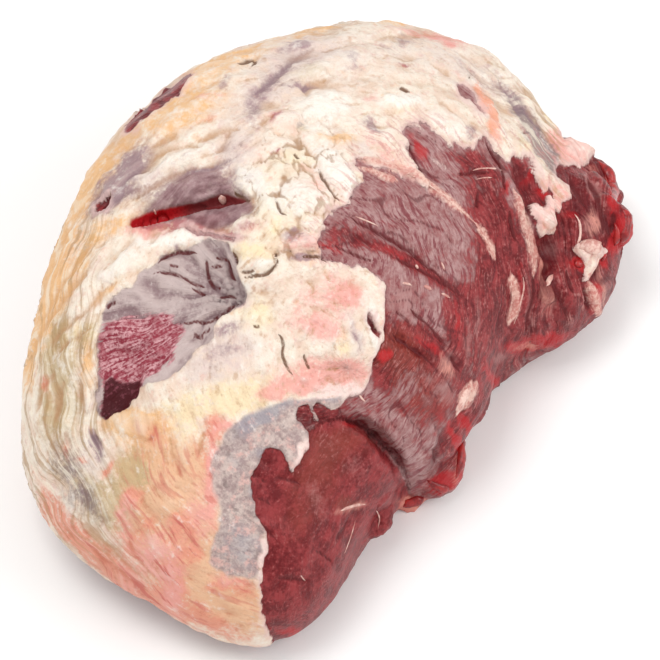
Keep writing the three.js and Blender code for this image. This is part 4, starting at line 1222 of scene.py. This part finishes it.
def raw_beef():
    """The whole cut, waxy on the fat and moist on the lean."""
    made, tree = empty_material("raw_beef_fat_and_lean")
    broad = [mottle(tree, lump, 4, number, 0.6) for number, lump in enumerate((9.0, 6.0, 7.0))]
    fine = mottle(tree, 2.0, 4, 4, 0.65)
    drawn_out = grain(tree, "fat_grain", 3.2, 13, 4, 22)
    crumple = total(tree, 0, (mottle(tree, 4.5, 6, 21, 0.65), 0.5), (drawn_out, 0.5))
    on_face = add(tree, "MapRange", {"Value": "face", "From Min": -1.0, "From Max": 3.0, "To Max": 0.6})
    strokes = add(tree, "Mix", {0: on_face, 2: grain(tree, "stroke_grain", 1.5, 8, 5, 5), 3: 0.5})
    fibres = add(tree, "Mix", {0: on_face, 2: grain(tree, "stroke_grain", 0.7, 6, 4, 9), 3: 0.5})
    fan_streaks = grain(tree, "fan_grain", 1.5, 6, 4, 11)

    ragged = (fine, 2.4)
    on_lean = total(tree, -1.2, ("lean", 1), ragged)
    on_window = total(tree, -1.2, ("window", 1), ragged)
    colour = fat_colour(tree, broad, fine, crumple)
    on_skin = total(tree, -1.8, ("silverskin", 1), (broad[1], 3), (fine, 2), ("white", -3), ("shell", -4))
    colour = laid_over(tree, colour, silverskin_colour(tree, broad, fine, crumple), on_skin, -1.0, 2.0, 0.95)
    torn = total(tree, 0, (grain(tree, "fat_grain", 2.6, 10, 4, 15), 0.5), (crumple, 0.5))
    gash_film = laid_over(tree, 0x6C4448, 0xA48284, total(tree, 0, (torn, 0.7), (broad[2], 0.3)), 0.4, 0.6)
    gash_film = laid_over(tree, gash_film, 0xD8BAB8, total(tree, 0, (torn, 0.6), (fine, 0.4)), 0.56, 0.7, 0.7)
    colour = layered(
        tree, colour,
        (gash_film, total(tree, -2, ("gash_film", 1), (broad[1], 4)), -1.5, 2.5, 0.85),
        (window_colour(tree, broad, fine, fan_streaks, crumple), on_window, -0.6, 0.8),
        (lean_colour(tree, broad, fine, strokes, fibres), on_lean, -0.3, 0.4),
    )
    # Painted shade down in the furrows: brown in the fat, dark red in the lean and the window
    bloody = add(tree, "Math", {0: on_lean, 1: on_window}, operation="MAXIMUM")
    crack = laid_over(tree, 0x6E4A32, 0x5E1418, bloody, -0.5, 0.5)
    cracked = total(tree, -0.6, ("furrow", 1), (fine, 0.5), (broad[0], 0.7))
    colour = laid_over(tree, colour, crack, cracked, 1.1, 1.75, 0.9)
    inside = laid_over(tree, 0xAE1018, 0x7A2A2C, "gash_shade", 0.2, 0.85)
    colour = laid_over(tree, colour, inside, "gash", -0.6, 0.7)
    pale = laid_over(tree, 0xCE867C, 0xEEC8B8, total(tree, 0, (broad[1], 0.4), (fine, 0.6)), 0.4, 0.6)
    sinewy = total(tree, -1.5, ("sinew", 1), (fine, 1.0), (fibres, 1.0))
    colour = laid_over(tree, colour, pale, sinewy, -0.3, 1.1, 0.85)

    lean_share, window_share = (
        add(tree, "MapRange", {"Value": value, "From Min": -0.3, "From Max": 0.4})
        for value in (on_lean, on_window))
    relief = (
        (crumple, total(tree, 3.4, (lean_share, -2.9), (window_share, -2.2))), (fine, 0.8),
        (grain(tree, "fat_grain", 1.8, 22, 3, 6), total(tree, 0, ("striped", 2.0))),
        (grain(tree, "fan_grain", 2.2, 12, 2, 3), total(tree, 0, ("wrinkled", 0.9))),
        (fan_streaks, total(tree, 0, (window_share, 1.2))),
        (strokes, total(tree, 0, (lean_share, 1.3))), (fibres, total(tree, 0, (lean_share, 0.8))),
    )
    bump = add(tree, "Bump", {
        "Height": total(tree, 0, (lean_share, -0.6), *relief), "Strength": 0.8, "Distance": METRES})
    rough = total(tree, 0.45, (broad[0], 0.25), (lean_share, -0.2), (window_share, -0.12))
    surface = add(tree, "BsdfPrincipled", {
        "Base Color": colour, "Roughness": rough, "Normal": bump, "IOR": 1.38, "Specular IOR Level": 0.3,
        "Coat Weight": 0.06, "Coat Roughness": 0.1,
    })
    add(tree, "OutputMaterial", {"Surface": surface})
    return made


def wet_strip(name, dark, pale, rough, coat):
    """A small wet strip: two tones of one colour in soft lumps, with a gloss over them."""
    made, tree = empty_material(name)
    lumps = mottle(tree, 4.0, 3, 1)
    fine = mottle(tree, 1.0, 2, 2)
    colour = laid_over(tree, dark, pale, total(tree, 0, (lumps, 1), (fine, 0.3)), 0.5, 0.8)
    uneven = total(tree, lumps, (fine, 1))
    bump = add(tree, "Bump", {"Height": uneven, "Strength": 0.6, "Distance": METRES * 0.5})
    surface = add(tree, "BsdfPrincipled", {
        "Base Color": colour, "Roughness": rough, "Normal": bump, "IOR": 1.42,
        "Coat Weight": coat, "Coat Roughness": 0.15,
    })
    add(tree, "OutputMaterial", {"Surface": surface})
    return made


def soft_light(name, power, size, place):
    lamp = bpy.data.lights.new(name, "AREA")
    lamp.energy = power
    lamp.size = size
    holder = shown(name, lamp)
    aimed = Vector(place).to_track_quat("Z", "Y").to_matrix().to_4x4()
    holder.matrix_world = Matrix.Translation(place) @ aimed


def studio():
    """A plain pale floor under soft light: a big lamp at the view's left and a weaker one at its right."""
    grid = bmesh.new()
    bmesh.ops.create_grid(grid, x_segments=1, y_segments=1, size=4)
    mesh = bpy.data.meshes.new("floor")
    grid.to_mesh(mesh)
    grid.free()
    floor = shown("floor", mesh)
    paper, tree = empty_material("white_paper_floor")
    matt = add(tree, "BsdfPrincipled", {"Base Color": 0xFDFDFC, "Roughness": 0.9})
    add(tree, "OutputMaterial", {"Surface": matt})
    floor.data.materials.append(paper)
    world = bpy.data.worlds.new("studio")
    world.use_nodes = True
    world.node_tree.nodes["Background"].inputs["Color"].default_value = linear(0xFFFFFF)
    world.node_tree.nodes["Background"].inputs["Strength"].default_value = 0.7
    bpy.context.scene.world = world
    soft_light("key", 9.2, 0.7, Vector(-RIGHT * 0.45 + UP * 0.75 + BACK * 1.3))
    soft_light("fill", 7, 0.9, Vector(RIGHT * 1.1 + UP * 0.3 + BACK * 0.9))
    bpy.context.scene.view_settings.view_transform = "Standard"


def camera():
    lens = bpy.data.cameras.new("view")
    lens.sensor_width = 36
    lens.lens = 36 * EYE_DISTANCE / (FRAME_PIXELS * MM_PER_PIXEL)
    eye = shown("view", lens)
    turn = Matrix((RIGHT, UP, BACK)).transposed().to_4x4()
    eye.matrix_world = Matrix.Translation(Vector((VIEW_MIDDLE + BACK * EYE_DISTANCE) * METRES)) @ turn
    bpy.context.scene.camera = eye


body = beef_topside()
body.data.materials.append(raw_beef())
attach(body, "root")
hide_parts("topside")
body_surface = BVHTree.FromPolygons(
    [vert.co / METRES for vert in body.data.vertices],
    [tuple(polygon.vertices) for polygon in body.data.polygons])
strips("sinew_strips", SINEW_STRIPS, body_surface, 0.15).data.materials.append(
    wet_strip("wet_sinew", 0xC4857B, 0xE8C4B6, 0.4, 0.3))
strips("flesh_strips", FLESH_STRIPS, body_surface, 0.2).data.materials.append(
    wet_strip("fresh_wet_flesh", 0x7E1216, 0xAE2A28, 0.35, 0.3))
studio()
camera()
